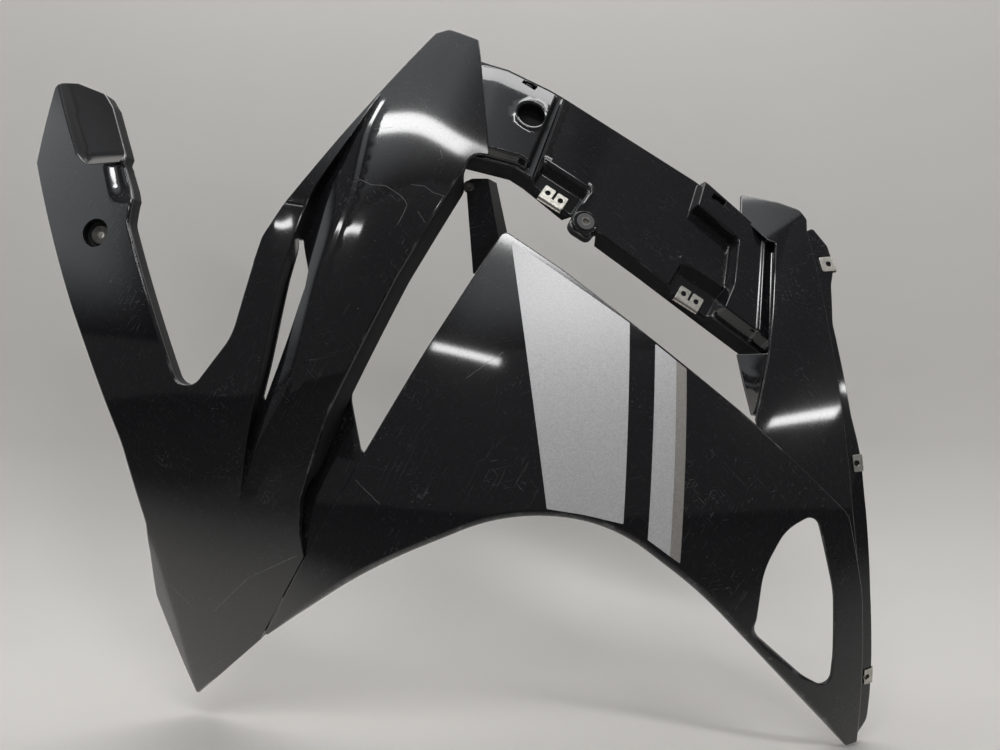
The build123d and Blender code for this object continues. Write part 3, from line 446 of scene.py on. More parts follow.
def rim_or_wall(x, z):
    """Turned rim on the outline, plain wall round the slit and the bush hole."""
    cut = in_slit(x, z)
    cut |= np.hypot(x - ARM_SCREW[0], z - ARM_SCREW[1]) < 20
    return np.where(cut, PLAIN_EDGE, upper_rim(x, z))


def upper_matt(x, z):
    """Where the face has less gloss: screw recess, arm's pocket and the valley's wall by the slit."""
    recess = ease((RECESS_RADIUS - 1.2 - np.hypot(x - ARM_SCREW[0], z - ARM_SCREW[1])) / 0.6)
    aside = x - along(VALLEY, z, 1)
    wall = ease((aside - 0.1) / 0.5) * ease((7 - aside) / 3) * ease((20 - z) / 20) * ease((z + 180) / 20)
    inner = depth_inside(x, z, pocket_edge)
    pocket = (0.75 + 0.25 * ease((9 - inner) / 2)) * ease((inner - 0.6) / 1.2) * ease((z - 63) / 5)
    return np.maximum(np.maximum(recess, wall), pocket)


upper_shell = moulding(
    upper_loops, upper_front, rim_or_wall, upper_roll, lambda x, z: FLANGE_FLARE * near_flange(x, z),
    upper_lines, upper_back_lines, 5.0, matt=upper_matt, back=lambda x, z: upper_front(x, z, WALL),
)

# Shelf of the upper panel, set back behind the shield, that carries the lower panel
SHELF = [
    (-236, -146, 1.5), (-211, -146, 5), (-212, -164, 20), (-201, -209, 6), (-183, -212, 4), (-236, -305, 200),
    (-263, -345, 3), (-290, -345, 1.5), (-272, -280, 20), (-268, -230, 20),
]
LOWER_CROWN, LOWER_RADII, LOWER_FLAT, SEAT_GAP = (16, -82, -291), (690, 560), -75.0, 0.3


def lower_skin(x, z):
    """The lower panel's outer face, flatter towards its tip."""
    flat = softer_max(z - LOWER_FLAT, 0, 24)
    return crown(x, z, LOWER_CROWN, LOWER_RADII) - flat ** 2 / (2 * LOWER_RADII[1])


def seat_skin(x, z):
    """The face that the lower panel lies on."""
    return lower_skin(x, z) + WALL + SEAT_GAP


shelf_shell = moulding([outline(SHELF, 4)], seat_skin, everywhere(PLAIN_EDGE), everywhere(0.8))
upper_panel = join_shells("upper_moulding", [upper_shell, shelf_shell])


class Paint:
    """A value in a material's nodes. Sums on it add Math nodes, and node() adds any other kind."""

    def __init__(self, tree, socket=None):
        self.tree = tree
        self.socket = socket

    def node(self, kind, settings=None, sockets=None, output=0):
        made = self.tree.nodes.new(kind)
        for name, value in (settings or {}).items():
            setattr(made, name, value)
        for name, value in (sockets or {}).items():
            if isinstance(value, Paint):
                self.tree.links.new(value.socket, made.inputs[name])
            else:
                made.inputs[name].default_value = value
        return Paint(self.tree, made.outputs[output])

    def sum(self, operation, *values):
        sockets = dict(enumerate(values))
        return self.node("ShaderNodeMath", {"operation": operation}, sockets)

    def __add__(self, other):
        return self.sum("ADD", self, other)

    def __sub__(self, other):
        return self.sum("SUBTRACT", self, other)

    def __mul__(self, other):
        return self.sum("MULTIPLY", self, other)

    def __radd__(self, other):
        return self.sum("ADD", other, self)

    def __rsub__(self, other):
        return self.sum("SUBTRACT", other, self)

    def between(self, low, high):
        """Ease from 0 at low to 1 at high."""
        sockets = {"Value": self, "From Min": low, "From Max": high}
        return self.node("ShaderNodeMapRange", {"interpolation_type": "SMOOTHSTEP"}, sockets)

    def blend(self, first, second):
        """A colour from first to second, with this value as the share."""
        return self.node("ShaderNodeMix", {"data_type": "RGBA"}, {0: self, 6: first, 7: second}, 2)

    def noise(self, where, scale, detail=2.0, roughness=0.5):
        sockets = {"Vector": where, "Scale": scale, "Detail": detail, "Roughness": roughness}
        return self.node("ShaderNodeTexNoise", {}, sockets)

    def place(self):
        """The object's own coordinates in metres."""
        return self.node("ShaderNodeTexCoord", output=3)

    def part(self, where, axis):
        """One of a place's three coordinates."""
        return self.node("ShaderNodeSeparateXYZ", {}, {0: where}, axis)

    def stored(self, name):
        """A value that the mesh carries at its points."""
        return self.node("ShaderNodeAttribute", {"attribute_name": name}, output=2)

    def bump(self, strength, distance, height):
        sockets = {"Strength": strength, "Distance": distance, "Height": height}
        return self.node("ShaderNodeBump", {}, sockets)

    def vector(self, operation, first, second, output=0):
        return self.node("ShaderNodeVectorMath", {"operation": operation}, {0: first, 1: second}, output)

    def stroke(self, flat, points):
        """Distance to a line through points given in millimetres across and up."""
        nearest = None
        for start, end in zip(points, points[1:]):
            run = Vector((end[0] - start[0], 0, end[1] - start[1])) / 1000
            apart = self.vector("SUBTRACT", flat, (start[0] / 1000, 0, start[1] / 1000))
            share = self.vector("DOT_PRODUCT", apart, tuple(run / run.length_squared), 1)
            share = self.node("ShaderNodeMath", {"operation": "ADD", "use_clamp": True}, {0: share, 1: 0.0})
            foot = self.node("ShaderNodeVectorMath", {"operation": "SCALE"}, {0: tuple(run), "Scale": share})
            distance = self.vector("DISTANCE", apart, foot, 1)
            nearest = distance if nearest is None else self.sum("MINIMUM", nearest, distance)
        return nearest

    def turned(self, where, angles, scale):
        """Coordinates turned and stretched, for scratches that run one way."""
        sockets = {"Vector": where, "Rotation": angles}
        turned = self.node("ShaderNodeMapping", {"vector_type": "TEXTURE"}, sockets)
        return self.node("ShaderNodeMapping", {}, {"Vector": turned, "Scale": scale})


def new_material(name):
    """A material with a Principled shader, and a Paint to build its nodes with."""
    material = bpy.data.materials.new(name)
    material.use_nodes = True
    tree = material.node_tree
    return material, tree.nodes["Principled BSDF"], Paint(tree)


def connect(shader, **links):
    """Link values to the shader's sockets, named with underscores for spaces."""
    for name, value in links.items():
        value.tree.links.new(value.socket, shader.inputs[name.replace("_", " ")])


# Scratches that stand out on the gloss mouldings: width in millimetres, then points across and up
LONG_SCRATCHES = [
    (0.5, [(-205, 33), (-192, 26), (-179, 25), (-167, 17), (-162, 12), (-160, 8), (-164, -2), (-168, -10)]),
    (0.4, [(-157, 27), (-145, 26), (-137, 20), (-126, 17)]), (0.4, [(-151, 3), (-145, -7)]),
    (0.35, [(-148, 108), (-142, 95)]), (0.35, [(-134, 69), (-130, 53)]), (0.35, [(-192, 80), (-175, 81)]),
    (0.6, [(-261, -303), (-307, -325), (-344, -360)]), (0.5, [(-384, -336), (-365, -357)]),
    (0.4, [(-108, -144), (-76, -121)]), (0.4, [(-205, -233), (-182, -253)]),
    (1.6, [(150, -382), (152.5, -383)]),
]
# Fine scratches: turn, stretch along them, and the noise levels between which they show
FINE_SCRATCHES = [(0.5, 26.0, 0.68, 0.74), (-0.75, 34.0, 0.69, 0.75), (1.35, 18.0, 0.7, 0.755)]


def scratched_gloss(name, polish, scuff, dust, long_scratches=(), gloss=1.0):
    """Gloss black plastic with scratches, haze, dust specks, edges worn grey and an unpainted inside."""
    material, shader, paint = new_material(name)
    where = paint.place()
    haze = paint.noise(where, 9.0, 5.0, 0.6).between(0.45, 0.75)
    patches = paint.noise(where, 22.0, 3.0).between(0.5, 0.72)
    scratches = None
    for turn, stretch, low, high in FINE_SCRATCHES:
        streaks = paint.turned(where, (0, turn, 0), (1500.0, 700.0, stretch))
        lines = paint.noise(streaks, 1.0, 1.0).between(low, high)
        scratches = lines if scratches is None else scratches.sum("MAXIMUM", scratches, lines)
    scratches = scratches * (0.12 + patches * 0.5)
    wobble = paint.node("ShaderNodeTexNoise", {}, {"Vector": where, "Scale": 160.0, "Detail": 3.0}, 1)
    shaken = paint.vector("ADD", where, paint.vector("MULTIPLY", wobble, (0.0016, 0, 0.0016)))
    flat = paint.vector("MULTIPLY", paint.vector("SUBTRACT", shaken, (0.0008, 0, 0.0008)), (1, 0, 1))
    broken = paint.noise(where, 420.0, 2.0).between(0.3, 0.55)
    for width, points in long_scratches:
        line = (1 - paint.stroke(flat, points).between(width / 3500, width / 1400)) * (0.35 + broken * 0.65)
        scratches = scratches.sum("MAXIMUM", scratches, line)
    bare = paint.stored("inside")
    scratches = scratches * (1 - bare)
    cells = {"Vector": where, "Scale": 150.0, "Randomness": 1.0}
    near = paint.node("ShaderNodeTexVoronoi", {}, cells)
    lot = paint.node("ShaderNodeTexVoronoi", {}, cells, 1)
    pick = paint.node("ShaderNodeSeparateColor", {}, {0: lot})
    specks = (1 - near.between(0.03, 0.07)) * pick.between(1 - dust, 1.001 - dust * 0.5)
    rubbed = paint.stored("edge").between(0.5, 1.0) * paint.noise(where, 60.0, 4.0, 0.7).between(0.5, 0.68)
    rubbed = rubbed * (1 - bare)
    marks = scratches * 0.6 + specks * 0.8
    pale = paint.sum("MINIMUM", 1.0, marks + rubbed * 0.3)
    plastic = bare.blend((0.006, 0.006, 0.007, 1), (0.02, 0.02, 0.021, 1))
    relief = scratches * -0.6 + paint.noise(where, 190.0, 2.0) * 0.25
    connect(
        shader,
        Base_Color=pale.blend(plastic, (0.2, 0.2, 0.205, 1)),
        Roughness=0.3 + haze * scuff + marks * 0.3 + rubbed * 0.2 + bare * 0.4,
        Coat_Weight=(1 - paint.sum("MINIMUM", 1.0, marks)) * (1 - bare) * gloss,
        Normal=paint.bump(0.06, 0.0004, relief),
    )
    shader.inputs["IOR"].default_value = 1.16
    shader.inputs["Coat Roughness"].default_value = polish
    return material


gloss_black = scratched_gloss("gloss_black_plastic", 0.075, 0.15, 0.22, LONG_SCRATCHES)
upper_panel.data.materials.append(gloss_black)
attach(upper_panel, "root")
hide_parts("upper_panel")

# Lower panel
# A second gloss moulding that lies on the shelf at its left and on the side panel at its right.
# Its lower arc is rolled over into a deep rim, and a large window is cut out at its right end.
LOWER_OUTLINE = [
    (-301, -387, 2), (-253, -303, 500), (-149, -126, 600), (-75, -7, 6), (-23, -46, 300), (134, -178, 500),
    (224, -262, 22), (238, -331, 150), (245, -423, 200), (249, -478, 2.5), (237, -480, 2),
    (88, -322, 400), (10, -262, 134), (-75, -257, 168), (-190, -308, 500),
]
LOWER_ARC = [
    (-296, -386), (-256, -352), (-190, -308), (-75, -257), (10, -262), (88, -322), (171, -407), (237, -480),
]
LOWER_RIM = 14
LOWER_SEATS = [
    [(-330, -400), (-262, -357), (-160, -170), (-70, -50), (-30, -70), (10, 30), (-120, 30)],
    [(100, -120), (130, -200), (200, -262), (215, -330), (222, -445), (236, -500), (300, -500), (300, -120)],
]
WINDOW = [
    (192, -259, 10), (209, -328, 90), (212, -385, 90), (211, -418, 9), (184, -402, 60), (136, -359, 17),
    (143, -305, 70), (163, -272, 40),
]


def on_arc(x, z):
    """How far a point of the outline belongs to the lower arc."""
    arc = reading(LOWER_ARC, x, 0, 1)
    return ease((26 - np.abs(z - arc)) / 12) * ease((x + 300) / 40) * ease((240 - x) / 30)


def lower_rim(x, z):
    """Turned rim, but plain wall on the two seats and round the window."""
    plain = inside(x, z, LOWER_SEATS[0]) | inside(x, z, LOWER_SEATS[1])
    plain |= inside(x, z, [(130, -250), (216, -250), (216, -422), (186, -412), (130, -360)])
    return np.where(plain, PLAIN_EDGE, LOWER_RIM)


lower_shell = moulding(
    [outline(LOWER_OUTLINE, 4), outline(WINDOW, 3, hole=True)], lower_skin, lower_rim,
    lambda x, z: 1.4 + 5.2 * on_arc(x, z),
)
lower_panel = join_shells("lower_moulding", [lower_shell])
lower_panel.data.materials.append(gloss_black)
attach(lower_panel, "root")
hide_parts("lower_panel")

# Films
# Two pieces of silver-grey metallic film, bonded on the lower panel with a thin black margin at their ends.
# The narrow one has a darker band along its right edge.
FILM, FILM_GAP = 0.25, 0.1
BAND_EDGE, BAND_LEAN = 0.0812, 0.068
FILM_MAIN = [(-68.5, -18, 0.8), (34, -96, 0.8), (23, -264, 0.8), (-9, -256.5, 160), (-40, -252, 0.8)]
FILM_STRIPE = [(55, -114, 0.8), (81, -136, 0.8), (70, -297, 0.8), (43, -277, 0.8)]


def film_skin(x, z):
    """The films' outer face."""
    return lower_skin(x, z) - FILM - FILM_GAP


def silver_film(name):
    """Grey metallic film with fine glitter."""
    material, shader, paint = new_material(name)
    where = paint.place()
    glitter = paint.node("ShaderNodeTexVoronoi", {}, {"Vector": where, "Scale": 1400.0}, 1)
    grain = paint.node("ShaderNodeSeparateColor", {}, {0: glitter})
    cloud = paint.noise(where, 7.0, 3.0)
    band = paint.part(where, 0) - paint.part(where, 2) * BAND_LEAN
    band = band.between(BAND_EDGE - 0.0002, BAND_EDGE + 0.0002)
    tone = grain * 0.5 + cloud * 0.25
    silver = tone.blend((0.38, 0.38, 0.39, 1), (0.64, 0.635, 0.63, 1))
    connect(
        shader,
        Base_Color=band.blend(silver, tone.blend((0.2, 0.19, 0.175, 1), (0.38, 0.36, 0.335, 1))),
        Roughness=0.42 + grain * 0.12,
        Normal=paint.bump(0.12, 0.0003, grain),
    )
    shader.inputs["Metallic"].default_value = 0.3
    return material


film_paint = silver_film("silver_metallic_film")
for name, rows in (("film_main", FILM_MAIN), ("film_stripe", FILM_STRIPE)):
    shell = moulding([outline(rows, 4)], film_skin, everywhere(FILM + 0.05), everywhere(0.1), wall=FILM)
    film = join_shells(name + "_sheet", [shell])
    film.data.materials.append(film_paint)
    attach(film, "root")
    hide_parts(name)

# Side panel
# The third gloss moulding, which runs down behind the lower panel: a crowned face, a flap that leans back at
# its top, a facet turned inward below the inner panel, and a set-back lip that carries the edge clips.
# The face nears its seat from FACE_BLEND down and the lip from SIDE_BLEND; both reach it at SEATED.
SIDE_CROWN, SIDE_RADII, LIP_BACK = (171, -50, -291), (650, 650), 5.0
FACE_BLEND, SIDE_BLEND, SEATED = 10, -190, -262.0
SIDE_FOLD = [
    (216, 8, 3), (214, -4, 8), (217, -39, 300), (224, -156, 400), (230, -263, 300), (237, -331, 150),
    (243, -423, 200), (246, -472, 2),
]
SIDE_LEFT = [
    (236, -466, 4), (224, -440, 20), (222, -330, 60), (212, -282, 20), (148, -210, 10), (142, -180, 6),
    (159, -127, 100), (169, -81, 100), (181, -17, 2), (174, -14, 2),
    (164, 0, 20), (155, 13, 2), (161, 38, 2), (194, 28, 8), (211, 19, 6),
]
LIP_EDGE = [
    (222, 0, 3), (233, -18, 4), (236, -38, 8), (230, -58, 8), (226, -94, 30), (234, -178, 40),
    (241, -215, 60), (246, -262, 60), (251, -334, 100), (257, -395, 100), (260, -433, 60), (261, -460, 20),
    (250, -479, 2),
]
FLAP_CREASE, FLAP_SLOPE = ((170, -13), (202, 7)), 0.27
FLAP_LINE = [(158, -20.5), (214, 14.5)]
FACET = [(-122, 161, 139, 22), (-152, 152, 141, 18), (-177, 145, 143, 12)]


def side_skin(x, z, first=SIDE_BLEND):
    """The side panel's own crown above, and the lower panel's seat below."""
    share = ease((first - z) / (first - SEATED))
    return crown(x, z, SIDE_CROWN, SIDE_RADII) * (1 - share) + seat_skin(x, z) * share


def side_front(x, z):
    """The side panel's face, with the flap leaning back from its slanted crease."""
    (x0, z0), (x1, z1) = FLAP_CREASE
    above = ((z - z0) * (x1 - x0) - (x - x0) * (z1 - z0)) / math.hypot(x1 - x0, z1 - z0)
    return side_skin(x, z, FACE_BLEND) + FLAP_SLOPE * (softer_max(above, 0, 1.6) - 0.1)


def side_rim(x, z):
    """Deep along the fold, where the lip joins, and plain wall elsewhere."""
    return np.where(x > np.interp(z, [-470, 0], [232, 205]), LIP_BACK + WALL, PLAIN_EDGE)


side_shells = [
    moulding(
        [outline(SIDE_FOLD + SIDE_LEFT, 4)], side_front, side_rim, everywhere(1.2),
        front_lines=[[(x, z + lift) for x, z in FLAP_LINE] for lift in (-3, -1.2, 0, 1.2, 3)],
    ),
    moulding(
        [outline(LIP_EDGE + [(x - WALL / 2, z, 0) for x, z, _ in reversed(SIDE_FOLD[1:])], 3)],
        lambda x, z: side_skin(x, z) + LIP_BACK, everywhere(PLAIN_EDGE), everywhere(0.7),
    ),
]


def facet_skin(x, z):
    """The facet's face from the ridge back to its foot."""
    ridge, foot, depth = (along(FACET, z, column) for column in (1, 2, 3))
    return side_skin(ridge, z, FACE_BLEND) + WALL / 2 + (depth - WALL / 2) * (ridge - x) / (ridge - foot)


facet_rows = [(row[1] + 1, row[0], 1) for row in FACET] + [(row[2], row[0], 1) for row in FACET[::-1]]
side_shells.append(moulding([outline(facet_rows, 3)], facet_skin, everywhere(PLAIN_EDGE), everywhere(0.6)))
side_panel = join_shells("side_moulding", side_shells)
side_panel.data.materials.append(gloss_black)
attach(side_panel, "root")
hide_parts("side_panel")

# Inner panel
# A leaning tray in satin black plastic, screwed between shield and side panel: two raised ends, two clip
# pockets, a round socket, catch slots and the grommet's boss. It is drawn on its own plane, u along, v up.
INNER_SLANT, INNER_LEAN = math.radians(33), math.radians(22)
INNER_U = np.array((math.cos(INNER_SLANT), 0, -math.sin(INNER_SLANT)))
INNER_W = np.array((
    math.sin(INNER_LEAN) * math.sin(INNER_SLANT), -math.cos(INNER_LEAN),
    math.sin(INNER_LEAN) * math.cos(INNER_SLANT),
))
INNER_V = np.cross(INNER_W, INNER_U)
INNER_RIM, INNER_FOOT_DROP = 14.0, 6.5
SLOT_SIZE, SLOT_DEPTH = (15.0, 7.5), 7.0
INNER_FRONT = [
    (-195, 86, 4), (-164, 96, 12), (-146, 103, 8), (-101, 110, 14), (-86, 111, 6), (68, 113, 6), (80, 112, 8),
    (153, 98, 12), (186, 96, 4), (220, 18, 8), (206, -14, 6), (142, -9, 30), (72, -3, 60), (13.5, 1, 2.5),
    (12.5, -12.5, 12.2), (-12.5, -12.5, 12.2), (-13.5, 4.3, 2.5), (-66, 11, 6), (-84, 11, 8), (-130, -8, 8),
]
INNER_FOOT = [(206, -14), (142, -9), (72, -3), (14, 1), (-66, 11), (-84, 11), (-130, -8)]
LEFT_PAD = [
    (-191, 84.5, 4), (-163, 93.5, 8), (-145, 100.5, 6), (-101, 107.5, 8), (-90, 108, 4), (-71, 14, 5),
    (-84, 14, 4), (-128, -4, 5),
]
RIGHT_PAD = [
    (71, 111.2, 3), (80, 110.8, 4), (153, 97, 8), (184, 95, 5), (217, 19, 6), (204, -10, 5), (146, -5, 4),
    (144, 22, 8), (128, 69, 6), (78, 76, 5),
]
LEFT_PAD_HEIGHT, RIGHT_PAD_HEIGHT, PAD_SIDE = 10.0, 14.0, 4.5
SOCKET_PLACE, SOCKET_RADIUS, SOCKET_DEPTH = (-99, 64), 13.5, 13.0
CATCH_SLOTS, CATCH_HEIGHTS = [(-119, 97), (96, 98)], (-3.5, -10.0)
# The socket's bead: radius, width and height
SOCKET_BEAD = (15.4, 1.5, 0.7)
SOCKET_LINES = (17, 16.2, 15.6, 15, 14.4, 13.75, 13.2, 12.8, 12.4, 11.8)
CLIP_PLACES = [(-38, 11.5), (121, -0.5)]
CLIP_POCKET_WIDTH, CLIP_POCKET_DEPTH, CLIP_POCKET_TOP, CLIP_RAMP = 50.0, 8.0, 24.0, 10.0
BOSS_RADIUS, BOSS_FRONT, BOSS_HOLE = 13.0, 3.0, 7.0
BOSS_CLEAR, BOSS_RIM_CUT, BOSS_RIM_REACH, FOOT_REACH, FOOT_FADE = 14, 5, 19, 9, 6
# Moulded beads: width, height, then points along them
BEADS = [
    (1.5, 2.0, [(-84, 106), (-63, 12)]), (1.8, 2.2, [(150, 93), (189, -9)]),
    (1.8, 2.2, [(161, 93), (202, -8)]), (1.5, 1.6, [(-65, 38), (-14, 38), (-10, 33), (-10, 19)]),
    (1.5, 1.6, [(94, 26), (142, 24)]),
]
LEFT_CREASE, LEFT_LEAN, SIDE_CREASE, SIDE_LEAN = (-122, 76, 0.2), 0.24, (-147, 70, -0.3), 0.3


def inner_place(rows):
    """Across, up and depth on the inner panel's plane, in the fairing's frame."""
    return (rows[:, :1] * INNER_U + rows[:, 1:2] * INNER_V - rows[:, 2:] * INNER_W) / 1000


def inner_front(u, v, grow=0.0):
    """The tray's face as a depth below the panel's plane."""
    left = ease((depth_inside(u, v, left_pad) - grow) / PAD_SIDE)
    right = ease((depth_inside(u, v, right_pad) - grow) / PAD_SIDE)
    depth = grow - softer_max(LEFT_PAD_HEIGHT * left, RIGHT_PAD_HEIGHT * right, 0.01)
    high = v - LEFT_CREASE[1] - LEFT_CREASE[2] * (u - LEFT_CREASE[0])
    aside = SIDE_CREASE[0] - u + SIDE_CREASE[2] * (v - SIDE_CREASE[1])
    depth = depth + left * (LEFT_LEAN * softer_max(high, 0, 6) + SIDE_LEAN * softer_max(aside, 0, 5) - 0.5)
    for middle, holes in CLIP_PLACES:
        across = ease((CLIP_POCKET_WIDTH / 2 + grow - np.abs(u - middle)) / 3.0)
        ramp = np.clip((holes + CLIP_POCKET_TOP + grow - v) / CLIP_RAMP, 0, 1)
        depth = depth + (CLIP_POCKET_DEPTH + grow - depth) * across * ease(ramp)
    ring_in = np.hypot(u - SOCKET_PLACE[0], v - SOCKET_PLACE[1])
    depth = depth + SOCKET_DEPTH * ease((SOCKET_RADIUS + grow - ring_in) / 1.4)
    if grow == 0:
        depth = depth - SOCKET_BEAD[2] * np.exp(-((ring_in - SOCKET_BEAD[0]) / SOCKET_BEAD[1]) ** 2)
    for corners in slot_edges:
        depth = depth + SLOT_DEPTH * ease((depth_inside(u, v, corners) + grow) / 1.0)
    for width, height, points in BEADS if grow == 0 else ():
        gap = np.min([line_distance(u, v, *pair)[0] for pair in zip(points, points[1:])], axis=0)
        depth = depth - height * np.exp(-(gap / width) ** 2)
    boss = ease((BOSS_RADIUS - grow * 0.5 - np.hypot(u, v)) / 1.6)
    return depth * (1 - boss) + (grow - BOSS_FRONT) * boss


def inner_edge(u, v):
    """The lower edges, where the rim flares out as a slanted flange."""
    nearest = np.full(np.shape(u), 1e9)
    for start, end in zip(INNER_FOOT, INNER_FOOT[1:]):
        nearest = np.minimum(nearest, line_distance(u, v, start, end)[0])
    return ease((FOOT_REACH - nearest) / FOOT_FADE) * ease((np.hypot(u, v) - BOSS_CLEAR) / FOOT_FADE)


def inner_rim(u, v):
    """The rim reaches one level all round, so it is shallow in the pockets, and short round the boss."""
    middle = np.hypot(u, v)
    outer = INNER_RIM - inner_front(u, v) - BOSS_RIM_CUT * ease((BOSS_RIM_REACH - middle) / 5)
    return np.where(middle < 10, PLAIN_EDGE, np.maximum(outer, PLAIN_EDGE))


def slot_rows(centre, width, height):
    """Corner rows of a small slot."""
    return [
        (centre[0] + across * width / 2, centre[1] + up * height / 2, 1.2)
        for across, up in ((-1, -1), (1, -1), (1, 1), (-1, 1))
    ]


left_pad, right_pad = outline(LEFT_PAD, 3), outline(RIGHT_PAD, 3)
inner_loops = [outline(INNER_FRONT, 3.5), disc((0, 0), BOSS_HOLE)]
slot_edges = [outline(slot_rows(place, *SLOT_SIZE), 2) for place in CATCH_SLOTS]
inner_lines = []
for corners in slot_edges:
    inner_lines += feature_lines(corners, (-0.2, 0.4, 0.8, 1.2))
for corners in (left_pad, right_pad):
    inner_lines += feature_lines(corners, (-0.25, 0.6, 1.4, 2.3, 3.2, 4.0, 4.8))
for middle, holes in CLIP_PLACES:
    top = holes + CLIP_POCKET_TOP
    for amount in (-0.25, 0.6, 1.4, 2.4, 3.2):
        half = CLIP_POCKET_WIDTH / 2 - amount
        inner_lines += [[(middle + side, -30), (middle + side, top + 3)] for side in (-half, half)]
    for drop in (-0.25, 1.5, 3.5, 5.5, 7.5, 10.25):
        inner_lines.append([(middle - 26, top - drop), (middle + 26, top - drop)])
for width, height, points in BEADS:
    for across in (-2.0, -1.2, -0.6, 0, 0.6, 1.2, 2.0):
        inner_lines.append([(u + across * width, v) for u, v in points])
inner_lines += [ring(SOCKET_PLACE, radius, 48) for radius in SOCKET_LINES]
inner_lines += [ring((0, 0), radius) for radius in (13.25, 12.7, 12.2, 11.7, 11.2)]


def inner_matt(u, v):
    """Where the tray has no gloss: down the socket and the catch slots."""
    dull = ease((SOCKET_RADIUS - 0.7 - np.hypot(u - SOCKET_PLACE[0], v - SOCKET_PLACE[1])) / 0.5)
    for corners in slot_edges:
        dull = np.maximum(dull, ease((depth_inside(u, v, corners) - 0.5) / 0.5))
    return dull


inner_shell = moulding(
    inner_loops, inner_front, inner_rim, everywhere(0.9), lambda u, v: INNER_FOOT_DROP * inner_edge(u, v),
    inner_lines, step=5.0, matt=inner_matt, back=lambda u, v: inner_front(u, v, WALL),
)
catch_shells = [
    moulding(
        [outline(slot_rows(place, 7.0, 3.0), 1.5)], everywhere(height), everywhere(4.05), everywhere(0.5),
        step=2.0, wall=1.0, back=everywhere(height + 4),
    )
    for place, height in zip(CATCH_SLOTS, CATCH_HEIGHTS)
]
inner_panel = join_shells("inner_moulding", [inner_shell] + catch_shells, inner_place)
satin_black = scratched_gloss("satin_black_plastic", 0.1, 0.16, 0.3)
inner_panel.data.materials.append(satin_black)
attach(inner_panel, "root")
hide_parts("inner_panel")


def plated(name, colour, rough):
    """Zinc-plated steel with fine brushing and dull spots."""
    material, shader, paint = new_material(name)
    where = paint.place()
    spots = paint.noise(where, 240.0, 4.0, 0.65)
    lines = paint.noise(paint.turned(where, (0, 0.5, 0), (300.0, 300.0, 4000.0)), 1.0, 2.0)
    connect(
        shader,
        Base_Color=spots.between(0.35, 0.75).blend((*colour, 1), tuple(0.6 * part for part in colour) + (1,)),
        Roughness=rough + spots * 0.2 + lines * 0.1,
        Normal=paint.bump(0.1, 0.0002, lines),
    )
    shader.inputs["Metallic"].default_value = 1.0
    return material


def dull_rubber(name):
    """Dark rubber with a fine grain."""
    material, shader, paint = new_material(name)
    where = paint.place()
    grain = paint.noise(where, 900.0, 3.0)
    connect(
        shader,
        Base_Color=grain.blend((0.035, 0.035, 0.036, 1), (0.085, 0.085, 0.086, 1)),
        Roughness=0.5 + grain * 0.3,
        Normal=paint.bump(0.2, 0.0003, grain),
    )
    return material


# Clip nuts
# Zinc-plated spring steel folded round the plastic: lobed front leaf, ribbed bend, rear leaf and barrels.
# The two pairs sit in the inner panel's pockets, and three single ones on the side panel's lip.
CLIP_SHEET, CLIP_GAP, HOLE_RADIUS = 1.0, 0.35, 2.7
THREAD_RADIUS, BARREL_RADIUS, BARREL_LENGTH = 2.5, 4.5, 5.0
PAIR_PITCH, PAIR_LOBE, PAIR_FOOT, PAIR_LEAF, LOBE_SLOT, SLOT_FOOT = 14.0, 11.5, -10.35, 17.0, 2.5, -3.5
# Height and leaf length of each edge clip
EDGE_CLIPS = {"top": (-37, 15.0), "middle": (-219, 11.0), "bottom": (-414, 11.0)}
EDGE_WIDTH, EDGE_INSET = 15.0, 5.5
RIB_PITCH, RIB_HEIGHT = 4.2, 0.35


def bend_shell(half, foot, front, back):
    """The fold under a clip: a half round sheet with pressed ribs."""
    outer = (back - front) / 2
    columns, turns = np.linspace(-half, half, 37), np.linspace(0, math.pi, 13)
    rows, faces = [], []
    for radius, lift in ((outer, RIB_HEIGHT), (outer - CLIP_SHEET, 0.0)):
        for turn in turns:
            swell = lift * np.sin(turn)
            reach = radius + swell * (0.5 + 0.5 * np.cos(2 * math.pi * columns / RIB_PITCH)) - swell
            up, depth = foot + outer - reach * math.sin(turn), front + outer - reach * math.cos(turn)
            rows += np.column_stack((columns, up, depth)).tolist()
    wide, tall = len(columns), len(turns)
    size = wide * tall
    for turn in range(tall - 1):
        for column in range(wide - 1):
            here = turn * wide + column
            faces.append((here, here + wide, here + wide + 1, here + 1))
            faces.append((here + size + 1, here + size + wide + 1, here + size + wide, here + size))
        start, end = turn * wide, turn * wide + wide
        for here, on in ((start, end), (end + wide - 1, end - 1)):
            faces.append((here, here + size, on + size, on))
    for column in range(wide - 1):
        last = (tall - 1) * wide + column
        faces.append((column, column + 1, column + 1 + size, column + size))
        faces.append((last + 1, last, last + size, last + 1 + size))
    return np.array(rows), faces, {}, [(0.5, 0.0)] * len(rows)


